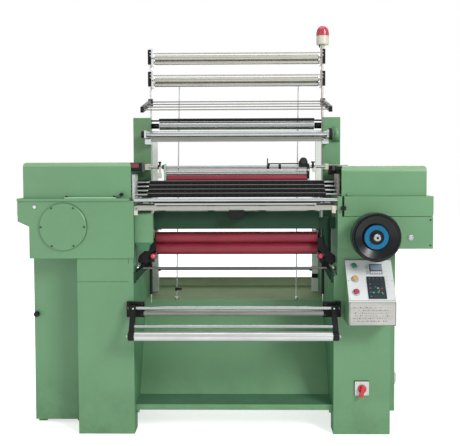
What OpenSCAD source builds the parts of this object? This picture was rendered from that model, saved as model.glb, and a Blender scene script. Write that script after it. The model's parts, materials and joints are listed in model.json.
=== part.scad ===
// Crochet knitting machine: two hollow side legs carry gear housings with lift-up hoods,
// and between them the needle bed, four yarn-laying bars, nip rollers, a swinging take-up
// roller and a tall yarn creel. Millimetres, +Z up, origin on the floor at the middle.

/* [Overall] */
// Full width over the two housings
overall_w = 1900; // [1800:10:2100]
// Full depth from the handwheel nose to the back of the legs
overall_d = 1040; // [1000:10:1200]
// Clear width between the legs
bay_w = 920; // [880:5:1000]
// Sideways place of the bay's centre
bay_cx = 40; // [20:5:60]
// Sideways place of the working width's centre
works_cx = 55; // [40:5:70]

/* [Legs and base] */
// Width of a leg
leg_w = 260; // [220:5:300]
// How far the handwheel nose stands in front of the legs
front_reach = 160; // [150:5:190]
// Height of the arch between the front and back feet
arch_h = 103; // [80:1:130]
// Front-to-back length of a foot
foot_l = 90; // [70:5:130]
// Height of the catch shelf
shelf_z = 547; // [500:1:600]
// Thickness of the folded sheet
sheet_t = 3; // [2:0.5:5]
// Height of the left leg under its housing
left_leg_h = 820; // [780:5:860]
// Height of the right leg under its housing
right_leg_h = 862; // [820:2:900]

/* [Housings] */
// Top face of the left deck
left_deck_z = 1096; // [1080:1:1110]
// Thickness of the left deck's edge
deck_t = 12; // [8:1:20]
// Top face of the right cover
right_deck_z = 1102; // [1080:1:1120]
// How far the housings reach back from the legs' front
housing_d = 740; // [600:10:800]
// How far the housings stand in front of the legs
housing_lip = 8; // [4:1:20]
// Radius of the round inspection cover
cover_r = 109; // [90:1:120]
// Height of the left hood
left_hood_h = 164; // [140:1:180]
// Height of the right hood
right_hood_h = 138; // [120:1:160]
// Depth of the hoods
hood_d = 238; // [200:1:245]
// Wall of the hoods
hood_t = 3; // [2:0.5:5]
// Radius of the handwheel
wheel_r = 108; // [90:1:112]
// Width of the handwheel's rim
wheel_b = 70; // [50:1:80]

/* [Working head] */
// Height of one yarn-laying bar
bar_h = 17; // [12:1:17]
// Thickness of one yarn-laying bar
bar_t = 8; // [6:1:14]
// Sideways travel of a yarn-laying bar each way
shog = 10; // [6:1:12]
// Number of one-inch needle leads along the bed
lead_n = 30; // [20:1:30]
// Length of one needle lead along the bed
lead_pitch = 25.4; // [20:0.1:25.4]
// Radius of the red feed roller
warp_r = 17; // [14:0.5:18]
// Radius of the take-up rollers
takeup_r = 27; // [22:0.5:30]
// Radius of the swinging roller
dancer_r = 21.5; // [18:0.5:25]
// Length of the swinging arms
arm_l = 135.6; // [120:0.2:150]
// Lean of the swinging arms from hanging straight
arm_lean = 36; // [25:1:45]

/* [Creel] */
// Height of the columns' tops
column_z = 1480; // [1440:5:1500]
// Height of the upper creel rod
creel_z = 1796; // [1760:2:1820]
// Spacing between the two creel levels
creel_step = 108; // [100:1:120]
// Radius of the creel's upright posts
post_r = 5; // [4:0.5:8]
// Radius of the large feed beam
beam_r = 20.5; // [18:0.5:24]
// Radius of the front feed roller
feed_r = 15.5; // [12:0.5:18]

/* [Fits] */
// Radial clearance of a shaft in its bore
run_fit = 0.05; // [0.02:0.01:0.1]
// Gap between rollers that nip the yarn
nip_gap = 0.4; // [0.3:0.1:1]
// Gap round pieces that slide past one another
slide_gap = 0.5; // [0.3:0.1:1]

/* [Hidden] */
$fn = 64;
green = [0.43, 0.62, 0.47];
dark_green = [0.22, 0.33, 0.25];
cream = [0.87, 0.86, 0.78];
silver = [0.80, 0.81, 0.82];
chromed = [0.86, 0.87, 0.88];
blackish = [0.08, 0.08, 0.09];
crimson = [0.66, 0.08, 0.16];
drum_red = [0.36, 0.10, 0.12];
front_y = -overall_d / 2 + front_reach;
rear_y = overall_d / 2;
left_in = bay_cx - bay_w / 2;
right_in = bay_cx + bay_w / 2;
left_out = left_in - leg_w;
right_out = right_in + leg_w;
// faces of the housings that look into the bay
wall_l = left_in + 4;
wall_r = right_in + 16;
housing_front = front_y - housing_lip;
housing_back = front_y + housing_d;
// columns and posts
col_in = bay_w / 2 - 37;
col_w = 86;
col_d = 60;
col_y = front_y + 260;
post_half = col_in + 3;
post_y = front_y + 300;
roll_half = bay_w / 2 - 78;
bar_half = bay_w / 2 - 46;
creel_half = bay_w / 2 - 58;
bar_n = 4;
bar_y0 = front_y + 50;
bar_dy = 24;
bar_z0 = 1110;
bar_dz = 18.5;

module bx(x0, x1, y0, y1, z0, z1) {
  translate([x0, y0, z0]) cube([x1 - x0, y1 - y0, z1 - z0]);
}
module rod_x(x0, x1, y, z, r) {
  translate([x0, y, z]) rotate([0, 90, 0]) cylinder(h = x1 - x0, r = r);
}
module rod_y(y0, y1, x, z, r) {
  translate([x, y0, z]) rotate([-90, 0, 0]) cylinder(h = y1 - y0, r = r);
}
module rod_z(z0, z1, x, y, r) {
  translate([x, y, z0]) cylinder(h = z1 - z0, r = r);
}
// flat outline in Y and Z pushed along X
module along_x(x0, x1) {
  translate([x0, 0, 0]) rotate([90, 0, 90]) linear_extrude(x1 - x0) children();
}
// flat outline in X and Z pushed along Y
module along_y(y0, y1) {
  translate([0, y1, 0]) rotate([90, 0, 0]) linear_extrude(y1 - y0) children();
}
// straight bar of round section between two points
module link(a, b, r) {
  d = b - a;
  l = norm(d);
  translate(a) rotate([0, acos(d[2] / l), atan2(d[1], d[0])]) rotate(37) cylinder(h = l, r = r);
}
// straight bar of flat section between two points, its broad side upright
module flat_link(a, b, t, w) {
  d = b - a;
  l = norm(d);
  translate(a) rotate([0, acos(d[2] / l), atan2(d[1], d[0])])
    translate([-w / 2, -t / 2, 0]) cube([w, t, l]);
}
// strip of sheet that follows a line of points
module strip(pts, t) {
  for (i = [0 : len(pts) - 2]) {
    d = pts[i + 1] - pts[i];
    translate(pts[i]) rotate(atan2(d[1], d[0])) translate([0, -t / 2]) square([norm(d), t]);
  }
  for (i = [1 : len(pts) - 2]) translate(pts[i]) circle(d = t);
}
// rectangle with rounded corners
module pad(x0, x1, y0, y1, r) {
  translate([x0 + r, y0]) square([x1 - x0 - 2 * r, y1 - y0]);
  translate([x0, y0 + r]) square([x1 - x0, y1 - y0 - 2 * r]);
  for (x = [x0 + r, x1 - r], y = [y0 + r, y1 - r]) translate([x, y]) circle(r);
}
// rod with narrower journals at both ends
module roller(x0, x1, y, z, r, jr, jl) {
  rod_x(x0, x1, y, z, r);
  rod_x(x0 - jl, x1 + jl, y, z, jr);
}

/* ---- legs, base and cabinet ---- */
shaft_r = 7;
shaft_y = front_y + 665;
shaft_z = 672;
leg_top_step = 738;
seam_w = 2;
left_seam_z = 710;
leg_wall = 6;
bay_pocket_y0 = front_y + 120;
pocket_y1 = rear_y - 50;
pocket_z0 = arch_h + 8;
pocket_z1 = right_leg_h - 32;
module leg_side() {
  difference() {
    translate([front_y, 0]) square([rear_y - front_y, left_leg_h]);
    translate([front_y + foot_l, -1]) square([rear_y - front_y - 2 * foot_l, arch_h + 1]);
  }
}
module left_leg() {
  color(green) difference() {
    along_x(left_out, left_in) leg_side();
    bx(left_out - 1, left_in - 22, front_y - 1, front_y + seam_w, left_seam_z, left_seam_z + seam_w);
    bx(left_in - 24, left_in - 22, front_y - 1, front_y + seam_w, left_leg_h - 26, left_leg_h + 1);
    rod_x(left_out - 1, left_in + 1, shaft_y, shaft_z, shaft_r + run_fit);
  }
}
module right_leg() {
  color(green) difference() {
    union() {
      along_x(right_in, right_out) intersection() {
        leg_side();
        translate([front_y, 0]) square([rear_y - front_y, leg_top_step]);
      }
      bx(wall_r, right_out, front_y, rear_y, leg_top_step, right_leg_h);
    }
    bx(wall_r + leg_wall, right_out + 1, bay_pocket_y0, pocket_y1, pocket_z0, pocket_z1);
    rod_x(right_in - 1, wall_r + leg_wall + 1, shaft_y, shaft_z, shaft_r + run_fit);
  }
}
lip_y = front_y + 30;
tray_y = front_y + 180;
tray_z = 128;
chute_y = front_y + 410;
fold_h = 32;
shelf_back = rear_y - 40;
shelf_rim = 50;
module base_tray() {
  color(green) {
    along_x(left_in, right_in) strip([[lip_y + 22, arch_h + sheet_t / 2], [lip_y, arch_h + sheet_t / 2],
      [lip_y, tray_z], [tray_y, tray_z], [chute_y, shelf_z - fold_h], [chute_y, shelf_z],
      [shelf_back, shelf_z], [shelf_back, shelf_z + shelf_rim], [shelf_back - 16, shelf_z + shelf_rim]],
        sheet_t);
    for (x = [left_in, right_in - 10]) along_x(x, x + 10)
      polygon([[lip_y - 1, arch_h + 1], [lip_y + 60, arch_h + 1], [lip_y + 60, arch_h - 27], [lip_y + 40,
        arch_h - 27]]);
  }
}
cab_x = -overall_w / 2 + 28;
cab_y = front_y + 160;
cab_back = front_y + 780;
cab_z0 = 14;
cab_wall = 4;
cab_top = left_leg_h;
door_t = 20;
module left_cabinet() {
  color(green) {
    difference() {
      bx(cab_x, left_out, cab_y, cab_back, cab_z0, cab_top);
      bx(cab_x + cab_wall, left_out - cab_wall, cab_y - 1, cab_back - cab_wall, cab_z0 + cab_wall,
        cab_top - cab_wall);
      rod_x(left_out - cab_wall - 1, left_out + 1, shaft_y, shaft_z, shaft_r + 1);
    }
    for (x = [cab_x + 6, left_out - 46], y = [cab_y + 10, cab_back - 60]) bx(x, x + 40, y, y + 50, 0,
      cab_z0);
  }
}
cab_hinge_x = left_out - 5;
knob_z = 534;
module cabinet_door() {
  color(green) difference() {
    bx(cab_x + 0.5, cab_hinge_x, cab_y - door_t, cab_y - 0.5, cab_z0 + 4, cab_top - 4);
    bx(cab_x + 4, cab_hinge_x - 4, cab_y - door_t + 3, cab_y, cab_z0 + 8, cab_top - 8);
  }
  color(blackish) {
    rod_y(cab_y - door_t - 12, cab_y - door_t + 1, cab_x + 14, knob_z, 6);
    translate([cab_x + 14, cab_y - door_t - 18, knob_z]) rotate([90, 0, 0]) cylinder(h = 14, r1 = 14,
      r2 = 11, center = true);
  }
}
side_door_t = 44;
side_door_front = bay_pocket_y0 - 12;
side_door_back = pocket_y1 + 12;
module side_door() {
  color(green) difference() {
    bx(right_out + 0.5, right_out + side_door_t, side_door_front, side_door_back, 73, pocket_z1 + 12);
    bx(right_out, right_out + side_door_t - 3, side_door_front + 3, side_door_back - 3, 76, pocket_z1 + 9);
  }
  color(silver) bx(right_out + side_door_t, right_out + side_door_t + 5, side_door_front + 12,
    side_door_front + 34, 198, 256);
  color(silver) bx(right_out + side_door_t + 5, right_out + side_door_t + 13, side_door_front + 18,
    side_door_front + 28, 206, 248);
}

/* ---- motor drive ---- */
motor_y = front_y + 440;
motor_z = 170;
motor_r = 70;
motor_x0 = cab_x + 22;
motor_x1 = cab_x + 176;
pulley_x0 = left_out - 54;
pulley_b = 22;
small_r = 36;
big_r = 90;
belt_t = 7;
belt_b = 12;
module motor() {
  color([0.25, 0.42, 0.45]) {
    rod_x(motor_x0, motor_x1, motor_y, motor_z, motor_r);
    for (i = [0 : 5]) rod_x(motor_x0 + 18 + i * 18, motor_x0 + 26 + i * 18, motor_y, motor_z, motor_r + 5);
    bx(motor_x0 + 20, motor_x1 - 20, motor_y - 65, motor_y + 65, cab_z0 + cab_wall, cab_z0 + cab_wall + 14);
    for (y = [motor_y - 60, motor_y + 44])
      bx(motor_x0 + 20, motor_x1 - 20, y, y + 16, cab_z0 + cab_wall, motor_z - 40);
    bx(motor_x0 + 40, motor_x0 + 110, motor_y - 30, motor_y + 30, motor_z + motor_r - 6,
      motor_z + motor_r + 40);
  }
}
module grooved_pulley(x0, b, r) {
  translate([x0, 0, 0]) rotate([0, 90, 0]) rotate_extrude()
    polygon([[0, 0], [r + 3, 0], [r + 3, 3], [r, 5], [r, b - 5], [r + 3, b - 3], [r + 3, b], [0, b]]);
}
module motor_pulley() {
  color(silver) translate([0, motor_y, motor_z]) {
    grooved_pulley(pulley_x0, pulley_b, small_r);
    rod_x(motor_x1 + 0.5, pulley_x0 + 1, 0, 0, 12);
  }
}
shaft_x1 = wall_r + leg_wall + 14;
module cross_shaft() {
  color(blackish) {
    rod_x(pulley_x0, shaft_x1, shaft_y, shaft_z, shaft_r);
    translate([0, shaft_y, shaft_z]) difference() {
      grooved_pulley(pulley_x0, pulley_b, big_r);
      for (a = [0 : 60 : 300]) rotate([a, 0, 0]) rod_x(pulley_x0 - 1, pulley_x0 + pulley_b + 1, 0, 54, 17);
    }
    rod_x(wall_l + up_w + 0.5, wall_l + up_w + 12, shaft_y, shaft_z, shaft_r + 5);
    rod_x(right_in - up_w - 12, right_in - up_w - 0.5, shaft_y, shaft_z, shaft_r + 5);
    rod_x(wall_r + leg_wall + 1, shaft_x1, shaft_y, shaft_z, shaft_r + 6);
  }
}
module belt_outline(extra) {
  hull() {
    translate([motor_y, motor_z]) circle(small_r + extra);
    translate([shaft_y, shaft_z]) circle(big_r + extra);
  }
}
module drive_belt() {
  color(blackish) along_x(pulley_x0 + (pulley_b - belt_b) / 2,
    pulley_x0 + (pulley_b + belt_b) / 2) difference() {
    belt_outline(belt_t);
    belt_outline(0.3);
  }
}
module drive_panel() {
  x0 = wall_r + leg_wall;
  color(silver) bx(x0, x0 + 2, front_y + 150, front_y + 560, 300, 780);
  color([0.32, 0.34, 0.36]) {
    bx(x0 + 2, x0 + 122, front_y + 180, front_y + 330, 520, 740);
    for (i = [0 : 3]) bx(x0 + 2, x0 + 72, front_y + 180 + i * 62, front_y + 225 + i * 62, 390, 470);
    bx(x0 + 2, x0 + 62, front_y + 370, front_y + 520, 560, 720);
    bx(x0 + 2, x0 + 40, front_y + 180, front_y + 430, 330, 360);
  }
}

/* ---- gear housings and hoods ---- */
step_z = 991;
step_w = 53;
step_low = 25;
cover_x = -overall_w / 2 + 210;
cover_z = 966;
lift_r = 5;
lift_y = front_y + 86;
lift_l = wall_l - 7.5;
lift_rr = wall_r + 9;
drum_y0 = front_y + 20;
drum_x = left_out + 46;
drum_z = left_deck_z + 84;
stand_t = 10;
drum_l = 108;
drum_gap = 2;
drum_pin = 10;
module left_housing() {
  x0 = -overall_w / 2;
  color(green) difference() {
    union() {
      along_y(housing_front, housing_back) polygon([[x0, left_deck_z - deck_t], [x0, step_z],
        [x0 + step_w, step_z - step_low],
        [x0 + step_w, left_leg_h], [wall_l, left_leg_h], [wall_l, left_deck_z - deck_t]]);
      bx(x0, wall_l - 20, housing_front - 7, housing_back, left_deck_z - deck_t, left_deck_z);
      for (y = [drum_y0, drum_y0 + stand_t + drum_l + 2 * drum_gap])
        along_y(y, y + stand_t) difference() {
          union() {
            translate([drum_x - 30, left_deck_z - 1]) square([60, drum_z - left_deck_z + 1]);
            translate([drum_x, drum_z]) circle(30);
          }
          translate([drum_x, drum_z]) circle(drum_pin + run_fit);
        }
    }
    rod_z(left_deck_z - 110, left_deck_z + 1, lift_l, lift_y, lift_r + run_fit);
    along_y(housing_front - 1, housing_front + 3) translate([cover_x, cover_z]) circle(cover_r + 1);
  }
}
module round_cover() {
  color(green) translate([cover_x, housing_front + 3, cover_z]) rotate([90, 0, 0]) {
    cylinder(h = 11, r = cover_r);
    translate([0, 0, 11]) cylinder(h = 3, r1 = cover_r, r2 = cover_r - 5);
    for (a = [0 : 60 : 300]) rotate(a) translate([cover_r - 9, 0, 10]) cylinder(h = 7, r = 5);
  }
}
wheel_x = right_in + 169;
wheel_z = 927.5;
wheel_front = -overall_d / 2;
wheel_shaft_r = 14;
slot_w = 10;
cover_seam_z = 1009;
module right_housing() {
  x1 = overall_w / 2;
  color(green) difference() {
    union() {
      bx(wall_r, x1, housing_front, housing_back, right_leg_h, cover_seam_z);
      bx(wall_r, wall_r + 20, housing_front, housing_back, cover_seam_z - 1, right_deck_z);
      bx(wall_r + 19, x1 - 1, housing_front + 40, housing_back - 1, cover_seam_z - 1, right_deck_z);
      bx(wall_r + 20 + slot_w, x1, housing_front, housing_back, cover_seam_z + seam_w, right_deck_z);
      rod_y(housing_front - 14, housing_front + 1, wheel_x, wheel_z, 46);
    }
    rod_y(housing_front - 15, housing_front + 90, wheel_x, wheel_z, wheel_shaft_r + run_fit);
    rod_z(right_deck_z - 110, right_deck_z + 1, lift_rr, lift_y, lift_r + run_fit);
    rod_y(housing_front + 5, housing_front + 61, wall_r + 20 + slot_w / 2, bed_knob_z, 4 + run_fit);
  }
}
hood_y0 = front_y + 15;
hood_y1 = hood_y0 + hood_d;
// outer skin of a hood, its front and outer top edges rounded
module hood_skin(x0, x1, y0, y1, z0, z1, r) {
  intersection() {
    along_x(x0, x1) {
      translate([y0, z0]) square([y1 - y0, z1 - z0 - r]);
      translate([y0 + r, z1 - r - 1]) square([y1 - y0 - r, r + 1]);
      translate([y0 + r, z1 - r]) circle(r);
    }
    along_y(y0, y1) {
      translate([x0, z0]) square([x1 - x0, z1 - z0 - 12]);
      translate([x0 + 12, z1 - 13]) square([x1 - x0 - 24, 13]);
      for (x = [x0 + 12, x1 - 12]) translate([x, z1 - 12]) circle(12);
    }
  }
}
left_hood_x0 = -overall_w / 2 + 22;
left_hood_x1 = wall_l - 14;
right_hood_x0 = wall_r + 20;
right_hood_x1 = overall_w / 2 - 26;
module left_hood() {
  z0 = left_deck_z + 0.5;
  color(green) {
    difference() {
      hood_skin(left_hood_x0, left_hood_x1, hood_y0, hood_y1, z0, z0 + left_hood_h, 25);
      hood_skin(left_hood_x0 + hood_t, left_hood_x1 + 20, hood_y0 + hood_t, hood_y1 - hood_t, z0 - 20,
        z0 + left_hood_h - hood_t, 22);
    }
  }
  color(drum_red) along_x(left_hood_x1 - hood_t, left_hood_x1 + 50)
    pad(hood_y0 + 5, hood_y0 + 110, z0 + left_hood_h - 42, z0 + left_hood_h - 1, 9);
  color(blackish) {
    rod_y(hood_y0 - 12, hood_y0 + 1, left_hood_x1 - 42, z0 + 16, 4);
    rod_y(hood_y0 - 20, hood_y0 - 10, left_hood_x1 - 42, z0 + 16, 9);
  }
}
module right_hood() {
  z0 = right_deck_z + 0.5;
  color(green) {
    difference() {
      hood_skin(right_hood_x0, right_hood_x1, hood_y0, hood_y1, z0, z0 + right_hood_h, 30);
      hood_skin(right_hood_x0 - 20, right_hood_x1 - hood_t, hood_y0 + hood_t, hood_y1 - hood_t, z0 - 20,
        z0 + right_hood_h - hood_t, 27);
    }
  }
  color(blackish) along_x(right_hood_x0 - 30, right_hood_x0 + hood_t)
    pad(hood_y0 + 5, hood_y0 + 100, z0 + right_hood_h - 20, z0 + right_hood_h - 1, 6);
  color(green) bx(right_hood_x0 + 24, right_hood_x0 + 44, hood_y0 - 8, hood_y0 + 0.5, z0 + 2, z0 + 14);
}
module pattern_drum() {
  y0 = drum_y0 + stand_t + drum_gap;
  color(drum_red) {
    rod_y(y0, y0 + drum_l, drum_x, drum_z, 44);
    for (i = [0 : bar_n - 1], k = [0 : 11]) translate([drum_x, bar_y0 + i * bar_dy, drum_z]) rotate([0,
      k * 30, 0])
      translate([0, 0, 42]) translate([-8, -8, 0]) cube([16, 16, 8 + 3 * ((k + 2 * i) % 4)]);
  }
  color(silver) rod_y(drum_y0 - 1, drum_y0 + 2 * stand_t + drum_l + 12, drum_x, drum_z, drum_pin);
}
bed_knob_z = 1049;
module bed_knob() {
  x = wall_r + 20 + slot_w / 2;
  color(silver) rod_y(housing_front - 10, housing_front + 60, x, bed_knob_z, 4);
  color(blackish) {
    rod_y(housing_front - 18, housing_front - 4, x, bed_knob_z, 9);
    for (a = [0 : 60 : 300]) translate([x, 0, bed_knob_z]) rotate([0, a, 0]) rod_y(housing_front - 17,
      housing_front - 5, 0, 9, 4);
  }
}
// black rim and dished web, blue ring, bright hub and shaft, turned as one wheel
module handwheel() {
  translate([wheel_x, wheel_front, wheel_z]) rotate([-90, 0, 0]) {
    color(blackish) rotate_extrude() polygon([[14, 34], [54, 34], [56, 37], [wheel_r - 14, 24],
      [wheel_r - 8, 18], [wheel_r - 3, 18], [wheel_r, 22], [wheel_r, 16 + wheel_b - 4], [wheel_r - 4,
        16 + wheel_b],
      [wheel_r - 10, 16 + wheel_b], [wheel_r - 16, 60], [14, 60]]);
    color([0.10, 0.42, 0.72]) rotate_extrude() polygon([[33, 25], [52, 25], [53, 27], [53, 34.5], [32,
      34.5], [32, 27]]);
    color(silver) {
      rotate_extrude() polygon([[0, 0], [13, 0], [17, 5], [17, 60], [wheel_shaft_r + 8, 60],
        [wheel_shaft_r + 8, 100], [wheel_shaft_r, 100], [wheel_shaft_r, 190], [0, 190]]);
    }
  }
}

/* ---- control box ---- */
con_x0 = right_in + 47;
con_w = 210;
con_z1 = 811;
con_slope = [125, 162];
con_drop = 111;
con_front = front_y - 15 - con_slope[0];
con_len = norm(con_slope);
con_tilt = atan2(con_slope[0], con_slope[1]);
plate_t = 2;
module on_slope() {
  // the local X runs along the width and the local Y up the slope, Z out of the face
  translate([con_x0, con_front, con_z1 - con_slope[1]]) rotate([90 - con_tilt, 0, 0]) children();
}
button_x = 37;
button_rows = [172, 107, 41];
stem_r = 8;
module console() {
  color(green) difference() {
    along_x(con_x0, con_x0 + con_w) polygon([[front_y, con_z1], [front_y - 15, con_z1], [con_front,
      con_z1 - con_slope[1]],
      [con_front, con_z1 - con_slope[1] - con_drop], [front_y, con_z1 - con_slope[1] - con_drop]]);
    for (v = button_rows) on_slope() translate([button_x, v, -30]) cylinder(h = 31, r = stem_r + slide_gap);
  }
}
switch_x = right_in + 130;
switch_z = 216;
switch_w = 65;
module panel_plates() {
  color([0.92, 0.92, 0.90]) on_slope() difference() {
    translate([1, 1, 0]) cube([con_w - 2, con_len - 2, plate_t]);
    for (v = button_rows) translate([button_x, v, -1]) cylinder(h = plate_t + 2, r = stem_r + slide_gap);
  }
  color([0.85, 0.86, 0.86]) on_slope() for (v = button_rows) translate([button_x, v,
    plate_t]) difference() {
    cylinder(h = 5, r1 = 15, r2 = 14);
    translate([0, 0, -1]) cylinder(h = 7, r = stem_r + 3.5);
  }
  color([0.80, 0.81, 0.80]) along_y(con_front - plate_t, con_front)
    pad(con_x0 + 3, con_x0 + con_w - 3, con_z1 - con_slope[1] - con_drop + 3, con_z1 - con_slope[1] - 4, 8);
  color([0.80, 0.80, 0.78]) difference() {
    along_y(front_y - 5, front_y) pad(switch_x - switch_w / 2, switch_x + switch_w / 2,
      switch_z - switch_w / 2, switch_z + switch_w / 2, 4);
    rod_y(front_y - 6, front_y + 1, switch_x, switch_z, 6 + run_fit);
  }
}
module button(v) {
  on_slope() translate([button_x, v, 0]) {
    translate([0, 0, -16]) cylinder(h = plate_t + 21, r = stem_r);
    translate([0, 0, plate_t + 5]) cylinder(h = 3, r1 = stem_r + 2.5, r2 = stem_r + 1);
  }
}
module green_button() {
  color([0.10, 0.65, 0.30]) button(button_rows[0]);
}
module amber_button() {
  color([0.92, 0.68, 0.10]) button(button_rows[1]);
}
module red_button() {
  color([0.82, 0.12, 0.10]) button(button_rows[2]);
}
module switch_knob() {
  color([0.86, 0.10, 0.10]) {
    rod_y(front_y - 6, front_y - 0.5, switch_x, switch_z, 6);
    rod_y(front_y - 16, front_y - 5.3, switch_x, switch_z, 19);
    translate([switch_x, 0, switch_z]) rotate([0, 12, 0]) along_y(front_y - 32, front_y - 15) pad(-8, 8,
      -36, 18, 6);
  }
}

/* ---- columns, creel and beacon ---- */
col_foot_z = 960;
cable_r = 3;
journal_r = 8;
rear_feed_y = front_y + 290;
rear_feed_z = column_z - 39.5;
module columns() {
  color(green) for (s = [-1, 1]) {
    x_in = works_cx + s * col_in;
    x_out = works_cx + s * (col_in + col_w);
    wall = s < 0 ? wall_l : wall_r;
    deck = s < 0 ? left_deck_z : right_deck_z;
    difference() {
      union() {
        bx(min(x_in, x_out), max(x_in, x_out), col_y, col_y + col_d, deck, column_z);
        bx(min(x_in, wall), max(x_in, wall), col_y, col_y + col_d, col_foot_z, deck + 1);
      }
      rod_x(x_in - 22, x_in + 22, rear_feed_y, rear_feed_z, journal_r + run_fit);
    }
  }
}
up_y = front_y + 645;
up_d = 30;
up_z = 1380;
up_w = 34;
shelf_top = shelf_z + sheet_t / 2;
module rear_uprights() {
  color(cream) difference() {
    union() {
      bx(wall_l, wall_l + up_w, up_y, up_y + up_d, shelf_top, up_z);
      bx(right_in - up_w, right_in, up_y, up_y + up_d, shelf_top, right_deck_z + 1);
      bx(right_in - up_w + 18, wall_r + 6, up_y, up_y + up_d, right_deck_z, up_z);
      bx(right_in - 1, wall_r, up_y, up_y + up_d, 880, 960);
    }
    rod_x(wall_l - 1, right_in + 1, shaft_y, shaft_z, shaft_r + run_fit);
  }
  color(blackish) bx(right_in - up_w - 2, right_in - 3, up_y - 4, up_y, 625, 648);
}
arm_y1 = front_y - 4;
arm_y0 = front_y + 318;
guide_z = column_z + 83;
guide_drop = 21;
guide_dy = 102;
guide_r = 3;
beacon_z = creel_z + 42;
module creel_posts() {
  color(silver) {
    for (s = [-1, 1]) rod_z(column_z, beacon_z - 12, works_cx + s * post_half, post_y, post_r);
    rod_x(side_x(-1, creel_half + 12), side_x(1, creel_half + 12), stay_y1, stay_z, rod_r);
    for (i = [0, 1]) {
      link([works_cx + stay_foot[i], stay_y0, shelf_top + 4], [works_cx + stay_head[i], stay_y1, stay_z],
        stay_r);
      rod_z(shelf_top, shelf_top + 12, works_cx + stay_foot[i], stay_y0, 9);
      bx(works_cx + stay_head[i] - 6, works_cx + stay_head[i] + 6, stay_y1 - 6, stay_y1 + 6, stay_z - 8,
        stay_z + 6);
    }
  }
}
level_y = post_y - 20;
level_r = 14;
under_r = 9.5;
rod_r = 3.5;
level_z = [creel_z, creel_z - creel_step];
stay_y0 = front_y + 430;
stay_y1 = front_y + 340;
stay_r = 3;
stay_z = creel_z - creel_step - 30;
stay_foot = [-316, 306];
stay_head = [-287, 309];
function side_x(s, h) = works_cx + s * h;
module side_plate(s, h0, h1, y0, y1, z0, z1) {
  bx(min(side_x(s, h0), side_x(s, h1)), max(side_x(s, h0), side_x(s, h1)), y0, y1, z0, z1);
}
module side_rod(s, h0, h1, y, z, r) {
  rod_x(min(side_x(s, h0), side_x(s, h1)), max(side_x(s, h0), side_x(s, h1)), y, z, r);
}
module creel_brackets() {
  color(blackish) for (s = [-1, 1]) {
    for (z = level_z) difference() {
      union() {
        side_plate(s, post_half - 8, post_half + 13, post_y - 9, post_y + 9, z - 50, z + 22);
        side_plate(s, creel_half + 5, post_half - 8, level_y - 22, post_y + 9, z - 62, z + 22);
        side_plate(s, creel_half + 5, post_half - 8, post_y, stay_y1 + 8, z - 40, z - 20);
      }
      rod_z(z - 60, z + 30, side_x(s, post_half), post_y, post_r + run_fit);
      side_rod(s, creel_half, post_half, level_y, z - 22, 6 + run_fit);
      side_rod(s, creel_half, post_half, level_y, z - 22 - level_r - under_r - nip_gap, 5 + run_fit);
      side_rod(s, creel_half, post_half, level_y - 10, z, rod_r + run_fit);
      side_rod(s, creel_half, post_half, stay_y1, z - 30, rod_r + run_fit);
    }
    difference() {
      union() {
        side_plate(s, post_half - 10, post_half + 13, post_y - 9, post_y + 9, guide_z - 22, guide_z + 12);
        along_x(min(side_x(s, post_half - 5), side_x(s, post_half + 10)),
          max(side_x(s, post_half - 5), side_x(s, post_half + 10)))
          polygon([[arm_y0, guide_z + 12], [arm_y0, guide_z - 14], [arm_y1, guide_z - 3 * guide_drop - 14],
            [arm_y1, guide_z - 3 * guide_drop + 12]]);
      }
      rod_z(guide_z - 30, guide_z + 30, side_x(s, post_half), post_y, post_r + run_fit);
      for (i = [0 : 3])
        side_rod(s, post_half - 11, post_half + 7, post_y + 20 - i * guide_dy,
          guide_z - i * guide_drop, guide_r + run_fit);
    }
  }
}
module creel_rods() {
  color(chromed) {
    for (z = level_z) {
      rod_x(side_x(-1, creel_half + 12), side_x(1, creel_half + 12), level_y - 10, z, rod_r);
      rod_x(side_x(-1, creel_half + 12), side_x(1, creel_half + 12), level_y,
        z - 22 - level_r - under_r - nip_gap, 5);
      rod_x(side_x(-1, creel_half + 2), side_x(1, creel_half + 2), level_y,
        z - 22 - level_r - under_r - nip_gap, under_r);
    }
    rod_x(side_x(-1, creel_half + 12), side_x(1, creel_half + 12), stay_y1, creel_z - 30, rod_r);
    for (i = [0 : 3])
      rod_x(side_x(-1, post_half + 6), side_x(1, post_half + 6), post_y + 20 - i * guide_dy,
        guide_z - i * guide_drop, guide_r);
  }
}
module creel_roller(z) {
  color(chromed) roller(side_x(-1, creel_half), side_x(1, creel_half), level_y, z - 22, level_r, 6, 13);
}
module creel_roller_upper() {
  creel_roller(level_z[0]);
}
module creel_roller_lower() {
  creel_roller(level_z[1]);
}
module feed_roller_rear() {
  color(chromed) roller(side_x(-1, roll_half), side_x(1, roll_half), rear_feed_y, rear_feed_z, beam_r,
    journal_r, col_in + 20 - roll_half);
}
front_feed_y = front_y + 190;
front_feed_z = column_z - 84.5;
feed_half = col_in + 11;
module feed_roller_front() {
  color(chromed) {
    roller(side_x(-1, feed_half), side_x(1, feed_half), front_feed_y, front_feed_z, feed_r, journal_r, 26);
  }
  color(blackish) {
    side_rod(-1, feed_half + 11, feed_half + 25, front_feed_y, front_feed_z, feed_r + 1);
    side_rod(1, feed_half + 11, feed_half + 25, front_feed_y, front_feed_z, feed_r + 12);
  }
}
module feed_brackets() {
  color(silver) for (s = [-1, 1]) {
    difference() {
      side_plate(s, feed_half + 1, feed_half + 10, front_feed_y - 18, col_y, front_feed_z - 18,
        front_feed_z + 18);
      side_rod(s, feed_half, feed_half + 11, front_feed_y, front_feed_z, journal_r + run_fit);
    }
    side_plate(s, col_in - 9, feed_half + 10, front_feed_y + 6, col_y, column_z - 132, column_z - 107);
  }
  color(silver) bx(side_x(-1, col_in - 9), side_x(1, col_in - 9), front_feed_y + 12, front_feed_y + 28,
    column_z - 120, column_z - 100);
  color(blackish) bx(side_x(-1, col_in), side_x(1, col_in), rear_feed_y - 14, rear_feed_y + 12,
    column_z - 17, column_z - 10);
}
beacon_x = works_cx + post_half;
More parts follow.
